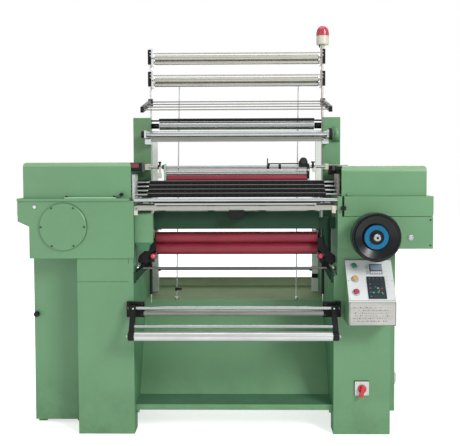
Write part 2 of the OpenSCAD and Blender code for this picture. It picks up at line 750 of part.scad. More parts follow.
module beacon_base() {
  color(cream) translate([beacon_x, post_y, 0]) rotate_extrude() polygon([[0, beacon_z - 12], [10,
    beacon_z - 12], [10, beacon_z],
    [30, beacon_z], [31.5, beacon_z + 2], [31.5, beacon_z + 43], [0, beacon_z + 43]]);
}
module beacon_dome() {
  z = beacon_z + 43;
  color([0.85, 0.10, 0.08]) translate([beacon_x, post_y, z]) rotate_extrude() difference() {
    union() {
      square([31, 20]);
      intersection() {
        translate([0, 20]) circle(31);
        square([31, 51]);
      }
    }
    square([27, 18]);
    intersection() {
      translate([0, 18]) circle(27);
      square([27, 46]);
    }
  }
}
cable_y0 = post_y - 9 - cable_r - 1.5;
cable_y1 = level_y - 22 - cable_r - 1.5;
cable_y2 = col_y + 5;
cable_x1 = beacon_x - 5 - cable_r - 1;
cable_x2 = works_cx + col_in - cable_r - 0.3;
cable_low = 1252;
cable_pts = [[beacon_x, cable_y0, beacon_z - cable_r], [cable_x1, cable_y1, creel_z + 28],
  [cable_x1, cable_y1, column_z + 20], [cable_x2, cable_y2, column_z - 2], [cable_x2, cable_y2, cable_low],
  [works_cx + col_in - 3, cable_y2, cable_low]];
module beacon_cable() {
  color([0.80, 0.62, 0.60]) for (i = [0 : len(cable_pts) - 2]) hull() {
    translate(cable_pts[i]) sphere(r = cable_r, $fn = 12);
    translate(cable_pts[i + 1]) sphere(r = cable_r, $fn = 12);
  }
}

/* ---- feed head over the needle bed ---- */
head_y = front_y + 170;
head_z = 1238;
head_rod_r = 7;
warp_z = 1181;
press_r = 9.2;
press_z = warp_z + warp_r + press_r + nip_gap;
warp_half = roll_half - 46;
// sideways places of the stop motion and of its feeler rail's end
stop_h = warp_half - 16;
rail_h = warp_half - 190;
module head_rod() {
  color(chromed) rod_x(side_x(-1, col_in + 4), side_x(1, col_in + 4), head_y, head_z, head_rod_r);
  color(chromed) rod_x(side_x(1, col_in + 3), side_x(1, col_in + 110), head_y, head_z + 6, 2.5);
}
module head_brackets() {
  color(cream) for (s = [-1, 1]) difference() {
    side_plate(s, col_in + 1, col_in + 16, head_y - 14, col_y, head_z - 14, head_z + 14);
    side_rod(s, col_in, col_in + 4.2, head_y, head_z, head_rod_r + run_fit);
    side_rod(s, col_in, col_in + 17, head_y, head_z + 6, 2.5 + run_fit);
  }
  color(blackish) {
    for (s = [-1, 1]) difference() {
      union() {
        side_plate(s, warp_half + 2, warp_half + 12, head_y - 18, head_y + 18, warp_z - 18, head_z + 4);
        side_rod(s, warp_half + 2, warp_half + 12, head_y, head_z, 15);
      }
      side_rod(s, warp_half + 1, warp_half + 13, head_y, head_z, head_rod_r + run_fit);
      side_rod(s, warp_half + 1, warp_half + 13, head_y, warp_z, 6 + run_fit);
      side_rod(s, warp_half + 1, warp_half + 13, head_y, press_z, 4 + run_fit);
    }
    // stop motion with its long feeler rail
    difference() {
      union() {
        side_plate(1, stop_h - 22, stop_h + 20, head_y - 12, head_y + 14, head_z - 2, head_z + 26);
        rod_y(head_y - 12, head_y + 14, side_x(1, stop_h), head_z + 26, 18);
        side_plate(1, rail_h, stop_h - 20, head_y - 4, head_y + 4, head_z + 11, head_z + 17);
        side_plate(1, rail_h, rail_h + 5, head_y - 4, head_y + 4, head_z + 11, head_z + 40);
      }
      side_rod(1, stop_h - 30, stop_h + 25, head_y, head_z, head_rod_r + run_fit);
    }
    side_plate(1, rail_h + 6, rail_h + 14, head_y - 5, head_y + 5, head_z + head_rod_r, head_z + 14);
  }
}
module press_roller() {
  color(chromed) roller(side_x(-1, warp_half), side_x(1, warp_half), head_y, press_z, press_r, 4, 11);
}
module warp_roller() {
  color(crimson) roller(side_x(-1, warp_half), side_x(1, warp_half), head_y, warp_z, warp_r, 6, 11);
}

/* ---- yarn-laying bars and needle bed ---- */
push_r = 5;
plate_l0 = lift_l - 5.5;
plate_l1 = lift_l + 5.5;
plate_r0 = lift_rr - 5.5;
plate_r1 = lift_rr + 5.5;
carr_y0 = bar_y0 - 12;
carr_y1 = bar_y0 + 3 * bar_dy + 24;
module weft_carriage() {
  color(cream) {
    difference() {
      union() {
        bx(plate_l0, plate_l1, carr_y0, carr_y1, left_deck_z - 8, 1204);
        bx(plate_r0, plate_r1, carr_y0, carr_y1, right_deck_z + 1, 1204);
      }
      for (i = [0 : bar_n - 1])
        rod_x(plate_l0 - 1, plate_r1 + 1, bar_y0 + i * bar_dy, bar_z0 + i * bar_dz, push_r + run_fit);
    }
  }
  color(silver) {
    rod_z(left_deck_z - 100, left_deck_z - 7, lift_l, lift_y, lift_r);
    rod_z(right_deck_z - 100, right_deck_z + 2, lift_rr, lift_y, lift_r);
  }
  color(blackish) bx(plate_l1 - 1, plate_r0 + 1, carr_y1 - 12, carr_y1, 1120, 1145);
}
follow_x = drum_x + 71;
module weft_bar(i) {
  y = bar_y0 + i * bar_dy;
  z = bar_z0 + i * bar_dz;
  color(blackish) bx(side_x(-1, bar_half), side_x(1, bar_half), y - bar_t / 2, y + bar_t / 2,
    z - bar_h / 2, z + bar_h / 2);
  color(chromed) {
    rod_x(follow_x + 3, side_x(-1, bar_half) + 1, y, z, push_r);
    rod_x(side_x(1, bar_half) - 1, plate_r1 + shog + 4, y, z, push_r);
    bx(follow_x, follow_x + 8, y - 7, y + 7, z - 5, drum_z + 10);
  }
}
module weft_bar_1() {
  weft_bar(0);
}
module weft_bar_2() {
  weft_bar(1);
}
module weft_bar_3() {
  weft_bar(2);
}
module weft_bar_4() {
  weft_bar(3);
}
bed_half = bay_w / 2 - 73;
bed_y0 = front_y + 70;
bed_y1 = front_y + 150;
bed_z0 = 948;
bed_z1 = 1031;
rail_y = front_y + 4;
slide_x = [for (k = [-0.38, -0.13, 0.13, 0.38]) k * bay_w];
lead_step = 2 * (bed_half - 6) / lead_n;
lead_half = lead_pitch / 2 - 0.3;
needle_y0 = front_y + 62;
needle_y1 = front_y + 84;
needle_z0 = 1064;
needle_z1 = 1078;
tenon_w = 8;
module bed_beam() {
  color(dark_green) {
    bx(side_x(-1, bed_half), side_x(1, bed_half), bed_y0, bed_y1, bed_z0, bed_z1);
    for (x = slide_x) difference() {
      bx(works_cx + x - 15, works_cx + x + 15, bed_y0 - 20, bed_y1, bed_z1 - 1, needle_z0 - slide_gap);
      bx(works_cx + x - tenon_w / 2 - slide_gap, works_cx + x + tenon_w / 2 + slide_gap, bed_y0 - 21,
        bed_y1 + 1,
        needle_z0 - 10 - slide_gap, needle_z0);
    }
  }
}
module needle_bar() {
  color(silver) {
    bx(side_x(-1, bed_half - 5), side_x(1, bed_half - 5), needle_y0, needle_y1, needle_z0, needle_z1);
    for (x = slide_x)
      bx(works_cx + x - tenon_w / 2, works_cx + x + tenon_w / 2, needle_y0, needle_y1 + 30,
        needle_z0 - 10, needle_z0 + 1);
  }
  color(chromed) for (i = [0 : lead_n - 1]) {
    x = works_cx + (i - (lead_n - 1) / 2) * lead_step;
    bx(x - lead_half, x + lead_half, needle_y0 - 12, needle_y0 + 14, needle_z1 - 1, needle_z1 + 6);
    bx(x - lead_half + 0.4, x + lead_half - 0.4, needle_y0 - 30, needle_y0 - 11, needle_z1 + 4,
      needle_z1 + 5.2);
  }
}
module bed_rails() {
  color(chromed) rod_x(wall_l, wall_r, rail_y, 1086.5, 8.5);
  color(cream) {
    bx(wall_l, wall_r, rail_y - 6, rail_y + 4, 1040, 1059);
    for (x = [side_x(-1, bed_half + 41), side_x(1, bed_half + 18)])
      bx(x, x + 24, rail_y + 3, rail_y + 14, 1040, 1086.5);
  }
  color(blackish) {
    bx(works_cx - 35, works_cx + 35, rail_y + 3, bed_y0, 1002, 1039);
    for (x = slide_x) bx(works_cx + x - 10, works_cx + x + 10, rail_y + 3, bed_y0 - 20, 1041, 1052);
    bx(works_cx - 35, works_cx + 35, rail_y + 3, rail_y + 12, 1002, 1046);
  }
}
warp_bar_end = 13;
module warp_bar() {
  color(silver) bx(wall_l + warp_bar_end, wall_r - warp_bar_end, rail_y - 6, rail_y + 3 - slide_gap, 1060,
    1072);
  color(blackish) for (x = [wall_l + warp_bar_end + 4, wall_r - warp_bar_end - 84])
    bx(x, x + 80, rail_y - 9, rail_y - 5, 1062.5, 1071);
}
module side_boxes() {
  x_in = side_x(-1, bed_half);
  color(green) along_y(bed_y0 - 46, bed_y0 + 26)
    polygon([[wall_l, 1022], [x_in, 1022], [x_in, 890], [x_in - 8, 880], [x_in - 14, 880], [x_in - 22, 850],
      [wall_l + 16, 850], [wall_l + 12, 880], [wall_l + 6, 880], [wall_l, 890]]);
  color(dark_green) {
    rod_z(840, 1000, side_x(1, bed_half + 33.5), bed_y0 + 20, 22);
    bx(side_x(1, bed_half), wall_r, bed_y0 + 4, bed_y1 - 20, bed_z0, 1000);
  }
}

/* ---- take-up ---- */
take_y = front_y + 130;
take_z1 = 903;
take_z0 = take_z1 - 2 * takeup_r - nip_gap;
take_j = 10;
plate_h0 = roll_half + 4;
plate_h1 = roll_half + 14;
knob_y = take_y - 50;
module takeup_roller_upper() {
  color(crimson) roller(side_x(-1, roll_half), side_x(1, roll_half), take_y, take_z1, takeup_r, take_j, 15);
}
module takeup_roller_lower() {
  color(crimson) roller(side_x(-1, roll_half), side_x(1, roll_half), take_y, take_z0, takeup_r, take_j, 15);
}
hang_h = plate_h1 + 8;
tie_y = take_y - 73;
tie_z = 766;
module takeup_frame() {
  color(blackish) for (s = [-1, 1]) {
    leg_x = s < 0 ? left_in : right_in;
    xm = side_x(s, (plate_h0 + plate_h1) / 2);
    difference() {
      union() {
        side_plate(s, plate_h0, plate_h1, take_y - 32, take_y + 30, take_z0 - 34, bed_z0);
        side_plate(s, plate_h0, plate_h1, knob_y - 12, take_y, take_z0 - 40, take_z0 - 12);
        side_plate(s, plate_h0, hang_h + 9, knob_y - 12, knob_y + 12, take_z0 - 56, take_z0 - 39);
        flat_link([xm, take_y - 20, take_z0 - 24], [leg_x - s * 5, front_y + 22, 728], 10, 34);
        bx(min(leg_x, leg_x - s * 10), max(leg_x, leg_x - s * 10), front_y + 4, front_y + 40, 704, 754);
      }
      for (z = [take_z0, take_z1]) side_rod(s, plate_h0 - 1, plate_h1 + 1, take_y, z, take_j + run_fit);
      rod_y(knob_y - 13, knob_y + 30, xm, take_z0 - 26, 3 + run_fit);
      bx(min(leg_x, leg_x + s * 60), max(leg_x, leg_x + s * 60), front_y, front_y + 100, 600, 800);
    }
    rod_z(640, take_z0 - 54, side_x(s, hang_h), knob_y, 6.5);
    rod_z(596, 641, side_x(s, hang_h), knob_y, 3.5);
  }
  color(silver) rod_x(left_in, wall_r, tie_y, tie_z, 6);
}
module takeup_knob(s) {
  xm = side_x(s, (plate_h0 + plate_h1) / 2);
  color(silver) rod_y(knob_y - 24, knob_y + 28, xm, take_z0 - 26, 3);
  color([0.80, 0.15, 0.25]) translate([xm, knob_y - 28, take_z0 - 26]) sphere(r = 13);
}
module takeup_knob_left() {
  takeup_knob(-1);
}
module takeup_knob_right() {
  takeup_knob(1);
}

/* ---- swinging take-up roller ---- */
swing_y = front_y - 40;
swing_z = 597;
pivot_r = 7.5;
block_h0 = bay_w / 2 - 53;
block_h1 = bay_w / 2 + 30;
arm_h0 = bay_w / 2 - 17;
arm_t = 24;
lug_t = 10;
dancer_y = swing_y - arm_l * sin(arm_lean);
dancer_z = swing_z - arm_l * cos(arm_lean);
dancer_j = 7;
arm_bar_r = 8;
arm_bar_off = [26.704, 36.703];
function bay_x(s, h) = bay_cx + s * h;
module bay_plate(s, h0, h1, y0, y1, z0, z1) {
  bx(min(bay_x(s, h0), bay_x(s, h1)), max(bay_x(s, h0), bay_x(s, h1)), y0, y1, z0, z1);
}
module bay_rod(s, h0, h1, y, z, r) {
  rod_x(min(bay_x(s, h0), bay_x(s, h1)), max(bay_x(s, h0), bay_x(s, h1)), y, z, r);
}
module dancer_frame() {
  color(blackish) for (s = [-1, 1]) difference() {
    union() {
      bay_plate(s, block_h0, block_h1, front_y - 20, front_y, swing_z - 46, swing_z + 24);
      bay_plate(s, arm_h0 + arm_t + 1, arm_h0 + arm_t + 1 + lug_t, swing_y - 12, front_y - 19,
        swing_z - 14, swing_z + 14);
    }
    bay_rod(s, arm_h0, block_h1, swing_y, swing_z, pivot_r + run_fit);
  }
  color(chromed) rod_x(bay_x(-1, block_h0 + 4), bay_x(1, block_h0 + 4), swing_y + 27, swing_z - 29, 12.5);
}
module dancer_arms() {
  mid = arm_h0 + arm_t / 2;
  color(chromed) {
    rod_x(bay_x(-1, arm_h0 + arm_t + lug_t + 3), bay_x(1, arm_h0 + arm_t + lug_t + 3), swing_y, swing_z,
      pivot_r);
    rod_x(bay_x(-1, arm_h0 + 5), bay_x(1, arm_h0 + 5), dancer_y + arm_bar_off[0],
      dancer_z + arm_bar_off[1], arm_bar_r);
  }
  color(blackish) for (s = [-1, 1]) difference() {
    union() {
      bay_rod(s, arm_h0, arm_h0 + arm_t, swing_y, swing_z, 13);
      bay_rod(s, arm_h0, arm_h0 + arm_t, dancer_y, dancer_z, 20);
      flat_link([bay_x(s, mid), swing_y - 4, swing_z - 6], [bay_x(s, mid), dancer_y + 3, dancer_z + 4],
        arm_t - 1, 22);
    }
    bay_rod(s, arm_h0 - 1, arm_h0 + arm_t + 1, dancer_y, dancer_z, dancer_j + run_fit);
  }
}
module dancer_roller() {
  color(silver) roller(bay_x(-1, arm_h0 - 4), bay_x(1, arm_h0 - 4), dancer_y, dancer_z, dancer_r,
    dancer_j, arm_t + 8);
}

left_leg();
right_leg();
base_tray();
left_cabinet();
cabinet_door();
side_door();
motor();
motor_pulley();
cross_shaft();
drive_belt();
drive_panel();
left_housing();
round_cover();
right_housing();
left_hood();
right_hood();
pattern_drum();
bed_knob();
handwheel();
console();
panel_plates();
green_button();
amber_button();
red_button();
switch_knob();
columns();
rear_uprights();
creel_posts();
creel_brackets();
creel_rods();
creel_roller_upper();
creel_roller_lower();
feed_roller_rear();
feed_roller_front();
feed_brackets();
beacon_base();
beacon_dome();
beacon_cable();
head_rod();
head_brackets();
press_roller();
warp_roller();
weft_carriage();
weft_bar_1();
weft_bar_2();
weft_bar_3();
weft_bar_4();
bed_beam();
needle_bar();
bed_rails();
warp_bar();
side_boxes();
takeup_roller_upper();
takeup_roller_lower();
takeup_frame();
takeup_knob_left();
takeup_knob_right();
dancer_frame();
dancer_arms();
dancer_roller();
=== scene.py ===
import bpy
import bmesh
import json
import math
import random
from mathutils import Vector, Matrix


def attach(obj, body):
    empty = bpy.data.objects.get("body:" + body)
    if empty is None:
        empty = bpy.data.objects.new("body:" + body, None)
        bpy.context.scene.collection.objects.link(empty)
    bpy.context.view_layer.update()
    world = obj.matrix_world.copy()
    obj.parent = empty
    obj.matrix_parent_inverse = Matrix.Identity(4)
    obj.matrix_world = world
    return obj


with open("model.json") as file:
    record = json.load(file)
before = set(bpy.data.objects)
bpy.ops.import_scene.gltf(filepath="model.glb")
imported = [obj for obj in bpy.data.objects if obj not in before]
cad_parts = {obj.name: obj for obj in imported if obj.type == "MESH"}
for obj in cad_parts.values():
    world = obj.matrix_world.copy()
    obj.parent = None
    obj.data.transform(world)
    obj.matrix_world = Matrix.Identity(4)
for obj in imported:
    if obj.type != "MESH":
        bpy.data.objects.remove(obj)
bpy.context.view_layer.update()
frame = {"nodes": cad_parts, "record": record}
NODES = frame["nodes"]
random.seed(7)

# ---------------------------------------------------------------- camera and light
scene = bpy.context.scene
scene.view_settings.view_transform = "Standard"


def camera():
    yaw, pitch, roll = math.atan(11 / 701), math.radians(2.48), math.radians(0.2)
    d = Vector((-math.sin(yaw) * math.cos(pitch), math.cos(yaw) * math.cos(pitch), -math.sin(pitch)))
    r = Vector((math.cos(yaw), math.sin(yaw), 0))
    u = r.cross(d)
    r, u = math.cos(roll) * r - math.sin(roll) * u, math.sin(roll) * r + math.cos(roll) * u
    cam = bpy.data.cameras.new("camera")
    cam.lens = 54.86
    cam.sensor_width = 36
    cam.shift_y = -0.06
    cam.clip_end = 60
    ob = bpy.data.objects.new("camera", cam)
    m = Matrix((r, u, -d)).transposed().to_4x4()
    m.translation = Vector((0.0758, -3.560, 1.2465))
    ob.matrix_world = m
    scene.collection.objects.link(ob)
    scene.camera = ob


def lamp(name, loc, aim, size, power):
    l = bpy.data.lights.new(name, "AREA")
    l.shape = "RECTANGLE"
    l.size, l.size_y = size
    l.energy = power
    ob = bpy.data.objects.new(name, l)
    ob.location = loc
    ob.rotation_euler = (Vector(aim) - Vector(loc)).to_track_quat("-Z", "Y").to_euler()
    scene.collection.objects.link(ob)


camera()
lamp("key_light", (3.6, -4.6, 3.8), (0.0, -0.3, 0.7), (1.9, 1.9), 228)
lamp("fill_light", (-3.0, -3.5, 1.4), (-0.1, 0, 0.7), (2.6, 2.6), 34)
lamp("top_light", (0.0, -0.4, 4.2), (0, 0, 1), (3.0, 3.0), 36)
lamp("back_light", (0.4, 3.6, 2.8), (0, 0, 1), (3.0, 2.0), 62)

world = bpy.data.worlds.new("world")
scene.world = world
world.use_nodes = True
wt = world.node_tree
wt.nodes.clear()
w_out = wt.nodes.new("ShaderNodeOutputWorld")
w_mix = wt.nodes.new("ShaderNodeMixShader")
w_soft = wt.nodes.new("ShaderNodeBackground")
w_soft.inputs[0].default_value = (0.93, 0.96, 1.0, 1)
w_soft.inputs[1].default_value = 0.36
w_white = wt.nodes.new("ShaderNodeBackground")
w_white.inputs[0].default_value = (1, 1, 1, 1)
w_white.inputs[1].default_value = 1.0


def seen_ray(tree):
    """Camera and transmission rays plus three quarters of the glossy ones, kept under one."""
    path = tree.nodes.new("ShaderNodeLightPath")
    a = tree.nodes.new("ShaderNodeMath")
    a.operation = "ADD"
    tree.links.new(path.outputs["Is Camera Ray"], a.inputs[0])
    tree.links.new(path.outputs["Is Transmission Ray"], a.inputs[1])
    b = tree.nodes.new("ShaderNodeMath")
    b.operation = "MULTIPLY_ADD"
    b.use_clamp = True
    b.inputs[1].default_value = 0.75
    tree.links.new(path.outputs["Is Glossy Ray"], b.inputs[0])
    tree.links.new(a.outputs[0], b.inputs[2])
    return b.outputs[0]


wt.links.new(seen_ray(wt), w_mix.inputs[0])
wt.links.new(w_soft.outputs[0], w_mix.inputs[1])
wt.links.new(w_white.outputs[0], w_mix.inputs[2])
wt.links.new(w_mix.outputs[0], w_out.inputs[0])


# ---------------------------------------------------------------- materials
class Tree:
    """A short way to write one material's nodes."""

    def __init__(self, name):
        self.mat = bpy.data.materials.new(name)
        self.mat.use_nodes = True
        self.t = self.mat.node_tree
        self.t.nodes.clear()
        self.out = self.add("OutputMaterial")
        self.bsdf = self.add("BsdfPrincipled")
        self.link(self.bsdf.outputs[0], self.out.inputs[0])
        self.coord = self.add("TexCoord").outputs["Object"]
        self.xyz = None

    def add(self, kind, **props):
        n = self.t.nodes.new("ShaderNode" + kind)
        for k, v in props.items():
            setattr(n, k, v)
        return n

    def link(self, a, b):
        self.t.links.new(a, b)

    def math(self, op, a, b=None, clamp=False):
        n = self.add("Math", operation=op, use_clamp=clamp)
        for i, v in enumerate((a, b)):
            if v is None:
                continue
            if isinstance(v, (int, float)):
                n.inputs[i].default_value = v
            else:
                self.link(v, n.inputs[i])
        return n.outputs[0]

    def axis(self, i):
        if self.xyz is None:
            self.xyz = self.add("SeparateXYZ")
            self.link(self.coord, self.xyz.inputs[0])
        return self.xyz.outputs[i]

    def noise(self, scale, detail=4, rough=0.55, stretch=None):
        n = self.add("TexNoise")
        n.inputs["Scale"].default_value = scale
        n.inputs["Detail"].default_value = detail
        n.inputs["Roughness"].default_value = rough
        if stretch:
            m = self.add("Mapping")
            m.inputs["Scale"].default_value = stretch
            self.link(self.coord, m.inputs[0])
            self.link(m.outputs[0], n.inputs["Vector"])
        else:
            self.link(self.coord, n.inputs["Vector"])
        return n.outputs[0]

    def span(self, v, lo, hi, a=0.0, b=1.0):
        """v mapped so that lo gives a and hi gives b, held between them."""
        n = self.add("MapRange")
        for k, x in (("From Min", lo), ("From Max", hi), ("To Min", a), ("To Max", b)):
            n.inputs[k].default_value = x
        self.link(v, n.inputs["Value"])
        return n.outputs[0]

    def mix(self, f, a, b):
        n = self.add("Mix", data_type="RGBA")
        for sock, v in ((n.inputs[0], f), (n.inputs[6], a), (n.inputs[7], b)):
            if isinstance(v, (int, float)):
                sock.default_value = v
            elif isinstance(v, tuple):
                sock.default_value = (*v, 1)
            else:
                self.link(v, sock)
        return n.outputs[2]

    def bump(self, height, strength, dist, normal=None):
        n = self.add("Bump")
        n.inputs["Strength"].default_value = strength
        n.inputs["Distance"].default_value = dist
        self.link(height, n.inputs["Height"])
        if normal is not None:
            self.link(normal, n.inputs["Normal"])
        return n.outputs[0]

    def soft_edge(self, radius):
        n = self.add("Bevel", samples=4)
        n.inputs["Radius"].default_value = radius
        return n.outputs[0]

    def set(self, **v):
        for k, x in v.items():
            s = self.bsdf.inputs[k.replace("_", " ")]
            if isinstance(x, (int, float)):
                s.default_value = x
            elif isinstance(x, tuple):
                s.default_value = (*x, 1)
            else:
                self.link(x, s)
        return self


def lin(c):
    """Screen colour, 0 to 255, as the shader's linear colour."""
    return tuple(((x / 255 + 0.055) / 1.055) ** 2.4 if x > 10.3 else x / 255 / 12.92 for x in c)


def scaled(c, f):
    return tuple(min(1.0, x * f) for x in c)


def paint(name, rgb, rough=0.42, wear=0.35, dust=0.35, peel=0.12, coat=0.15, spec=0.5):
    """Sprayed machine paint: slight cloud, orange peel, rubbed edges, dust on top and grime low down."""
    t = Tree(name)
    c = lin(rgb)
    cloud = t.span(t.noise(3.1, 5), 0.3, 0.7)
    base = t.mix(cloud, scaled(c, 0.93), scaled(c, 1.06))
    fine = t.span(t.noise(60, 3), 0.35, 0.75)
    base = t.mix(t.math("MULTIPLY", fine, 0.10), base, scaled(c, 1.25))
    low = t.span(t.axis(2), 0.30, 0.0)
    grime = t.math("MULTIPLY", low, t.span(t.noise(9, 6, 0.65), 0.42, 0.62))
    base = t.mix(t.math("MULTIPLY", grime, dust), base, scaled(c, 0.45))
    streak = t.span(t.noise(5, 5, 0.6, stretch=(9, 9, 0.6)), 0.58, 0.75)
    base = t.mix(t.math("MULTIPLY", streak, 0.12), base, scaled(c, 0.72))
    bev = t.soft_edge(0.0025)
    geo = t.add("NewGeometry")
    dot = t.add("VectorMath", operation="DOT_PRODUCT")
    t.link(bev, dot.inputs[0])
    t.link(geo.outputs["Normal"], dot.inputs[1])
    rim = t.span(dot.outputs["Value"], 0.995, 0.93)
    rub = t.math("MULTIPLY", rim, t.span(t.noise(26, 5, 0.7), 0.45, 0.6))
    base = t.mix(t.math("MULTIPLY", rub, wear), base, scaled(c, 1.7))
    up = t.add("SeparateXYZ")
    t.link(geo.outputs["Normal"], up.inputs[0])
    dusty = t.math("MULTIPLY", t.span(up.outputs[2], 0.6, 1.0), t.span(t.noise(14, 4), 0.35, 0.65, 0.25, 1))
    base = t.mix(t.math("MULTIPLY", dusty, dust * 0.35), base, lin((196, 200, 190)))
    r = t.span(t.noise(11, 5), 0.3, 0.7, rough - 0.07, rough + 0.08)
    r = t.math("ADD", r, t.math("MULTIPLY", grime, 0.2), clamp=True)
    n = t.bump(t.noise(420, 2), peel, 0.0006, bev)
    n = t.bump(t.noise(7, 3), 0.10, 0.004, n)
    return t.set(Base_Color=base, Roughness=r, Normal=n, Coat_Weight=coat, Coat_Roughness=0.25,
                 Specular_IOR_Level=spec).mat


def metal(name, rgb, rough=0.2, brush=(1, 90, 90), wear=0.3):
    """Turned or plated steel: fine tool marks along one way, smudges and a few dark marks."""
    t = Tree(name)
    c = lin(rgb)
    marks = t.noise(8, 4, 0.6, stretch=brush)
    smudge = t.span(t.noise(6, 5, 0.6), 0.35, 0.7)
    base = t.mix(smudge, c, scaled(c, 0.84))
    spots = t.span(t.noise(38, 6, 0.7), 0.64, 0.74)
    base = t.mix(t.math("MULTIPLY", spots, wear), base, scaled(c, 0.55))
    base = t.mix(t.span(marks, 0.3, 0.7, 0.0, 0.25), base, scaled(c, 0.78))
    r = t.span(marks, 0.3, 0.7, rough * 0.75, rough * 1.35)
    r = t.math("ADD", r, t.math("MULTIPLY", smudge, 0.08))
    n = t.bump(marks, 0.10, 0.0004, t.soft_edge(0.0012))
    return t.set(Base_Color=base, Roughness=r, Metallic=1.0, Normal=n).mat


def plastic(name, rgb, rough=0.3, spec=0.5, coat=0.0):
    """Moulded plastic: slight cloud, scuffs and a fine grain."""
    t = Tree(name)
    c = lin(rgb)
    base = t.mix(t.span(t.noise(9, 4), 0.3, 0.7), scaled(c, 0.9), scaled(c, 1.08))
    scuff = t.span(t.noise(46, 6, 0.7, stretch=(1, 1, 4)), 0.6, 0.75)
    base = t.mix(t.math("MULTIPLY", scuff, 0.2), base, scaled(tuple(x + 0.03 for x in c), 1.5))
    r = t.span(t.noise(23, 4), 0.3, 0.7, rough * 0.8, rough * 1.3)
    n = t.bump(t.noise(300, 2), 0.08, 0.0003, t.soft_edge(0.001))
    return t.set(Base_Color=base, Roughness=r, Normal=n, Specular_IOR_Level=spec, Coat_Weight=coat).mat


def rubber(name, rgb, rough=0.45):
    """Ground rubber sleeve: fine rings, handled and slightly faded in bands."""
    t = Tree(name)
    c = lin(rgb)
    base = t.mix(t.span(t.noise(4, 4, 0.6, stretch=(1, 4, 4)), 0.3, 0.7), scaled(c, 0.78), scaled(c, 1.12))
    lint = t.span(t.noise(160, 5, 0.7, stretch=(0.3, 1, 1)), 0.6, 0.72)
    base = t.mix(t.math("MULTIPLY", lint, 0.22), base, scaled(c, 1.9))
    rings = t.noise(30, 3, 0.5, stretch=(20, 0.2, 0.2))
    r = t.span(t.noise(12, 4), 0.3, 0.7, rough - 0.08, rough + 0.1)
    n = t.bump(rings, 0.10, 0.0004, t.soft_edge(0.001))
    return t.set(Base_Color=base, Roughness=r, Normal=n, Specular_IOR_Level=0.45).mat


GREEN = paint("green_enamel", (99, 145, 103))
# dark green enamel, taken darker still so that the bed beam carries painted shade
DARK_GREEN_AND_SHADE = paint("dark_green_and_painted_shade", (34, 62, 45), rough=0.6, wear=0.2, dust=0.05, coat=0.0, spec=0.2)
# olive paint brightened far past its own tone: painted light on the tray's shaded rear lip
LIT_OLIVE = paint("olive_painted_light", (220, 228, 196), rough=0.5, wear=0.2, dust=0.1)
PALE_OLIVE = paint("pale_olive_enamel", (112, 132, 94), rough=0.7, wear=0.2, dust=0.0, coat=0.0, spec=0.08)
# lighter copy of the green paint: painted light on the deck bar and the left head bracket
LIT_GREEN = paint("green_painted_light", (150, 196, 158), rough=0.38, wear=0.4)
# darker copy of the green paint: painted shade on the tray floor, the low left side box and the housings'
# inner walls
SHADE_GREEN = paint("painted_shade_green", (76, 120, 88), rough=0.6, wear=0.3, dust=0.05, coat=0.0, spec=0.15)
# darker copy of the green paint: painted shade on the legs' inner walls
INNER_SHADE_GREEN = paint("inner_wall_painted_shade", (90, 138, 100), rough=0.6, wear=0.3, dust=0.05, coat=0.0, spec=0.12)
# lighter copy of the green paint: painted sheen on the hoods' rounded top edges
HOOD_SHEEN = paint("hood_top_painted_sheen", (126, 166, 122), rough=0.5)
# darker copy of the green paint: painted shade on the left column
LEFT_COLUMN_SHADE = paint("left_column_painted_shade", (96, 134, 94))
TAUPE = paint("taupe_enamel", (142, 134, 124), rough=0.45, wear=0.3)
CREAM = paint("cream_enamel", (206, 204, 186), rough=0.4, wear=0.25, dust=0.3)
# cream brightened nearly to white: painted light on the shaded rear uprights
LIT_CREAM = paint("cream_painted_light", (244, 246, 240), rough=0.4, wear=0.1, dust=0.0)
TIE_STEEL = metal("tie_rod_steel", (104, 107, 103), 0.35, brush=(0.4, 12, 12), wear=0.1)
RAIL_CREAM = paint("rail_enamel", (168, 169, 157), rough=0.35, wear=0.3, dust=0.2)
BLACK_PAINT = paint("black_enamel", (9, 10, 10), rough=0.5, wear=0.3, dust=0.03, coat=0.0, spec=0.22)
DRUM_RED = paint("drum_enamel", (110, 44, 46), rough=0.5, wear=0.4)
MOTOR = paint("motor_enamel", (92, 120, 118), rough=0.5, wear=0.4)
PANEL = paint("panel_enamel", (214, 217, 216), rough=0.35, wear=0.1, dust=0.2, peel=0.05)
STEEL = metal("turned_steel", (198, 200, 198), 0.30, brush=(0.05, 14, 14), wear=0.15)
CHROME = metal("plated_steel", (182, 185, 184), 0.2, brush=(0.05, 12, 12), wear=0.1)
PLATE_STEEL = metal("plate_steel", (178, 176, 171), 0.5, brush=(1, 20, 20), wear=0.1)
WORN_STEEL = metal("worn_steel", (180, 179, 169), 0.28, brush=(0.05, 10, 10), wear=0.1)
GREY_BAR = metal("grey_bar_steel", (142, 143, 137), 0.34, brush=(0.05, 10, 10), wear=0.1)
DARK_STEEL = metal("blued_steel", (64, 64, 66), 0.34)
BLACK_GLOSS = plastic("black_gloss", (9, 11, 12), 0.22, 0.25, coat=0.06)
BLACK_PLASTIC = plastic("black_plastic", (14, 14, 15), 0.45, 0.25)
GREY_PLASTIC = plastic("grey_plastic", (92, 96, 100), 0.45)
GREEN_LENS = plastic("green_lens", (52, 132, 84), 0.22, coat=0.3)
AMBER_LENS = plastic("amber_lens", (214, 170, 92), 0.22, coat=0.3)
RED_LENS = plastic("red_lens", (196, 34, 34), 0.25, coat=0.3)
CRIMSON_LENS = plastic("crimson_lens", (168, 34, 64), 0.22, coat=0.3)
BEZEL = plastic("white_bezel", (212, 214, 213), 0.3)
DOME = plastic("dome_red", (188, 32, 58), 0.18, 0.6, coat=0.5)
SHEATH = plastic("cable_sheath", (178, 156, 150), 0.5)
CRIMSON = rubber("crimson_rubber", (138, 38, 53))
BELT = rubber("belt_rubber", (28, 28, 28), 0.6)
BALL = plastic("ball_red", (214, 60, 84), 0.2, coat=0.4)

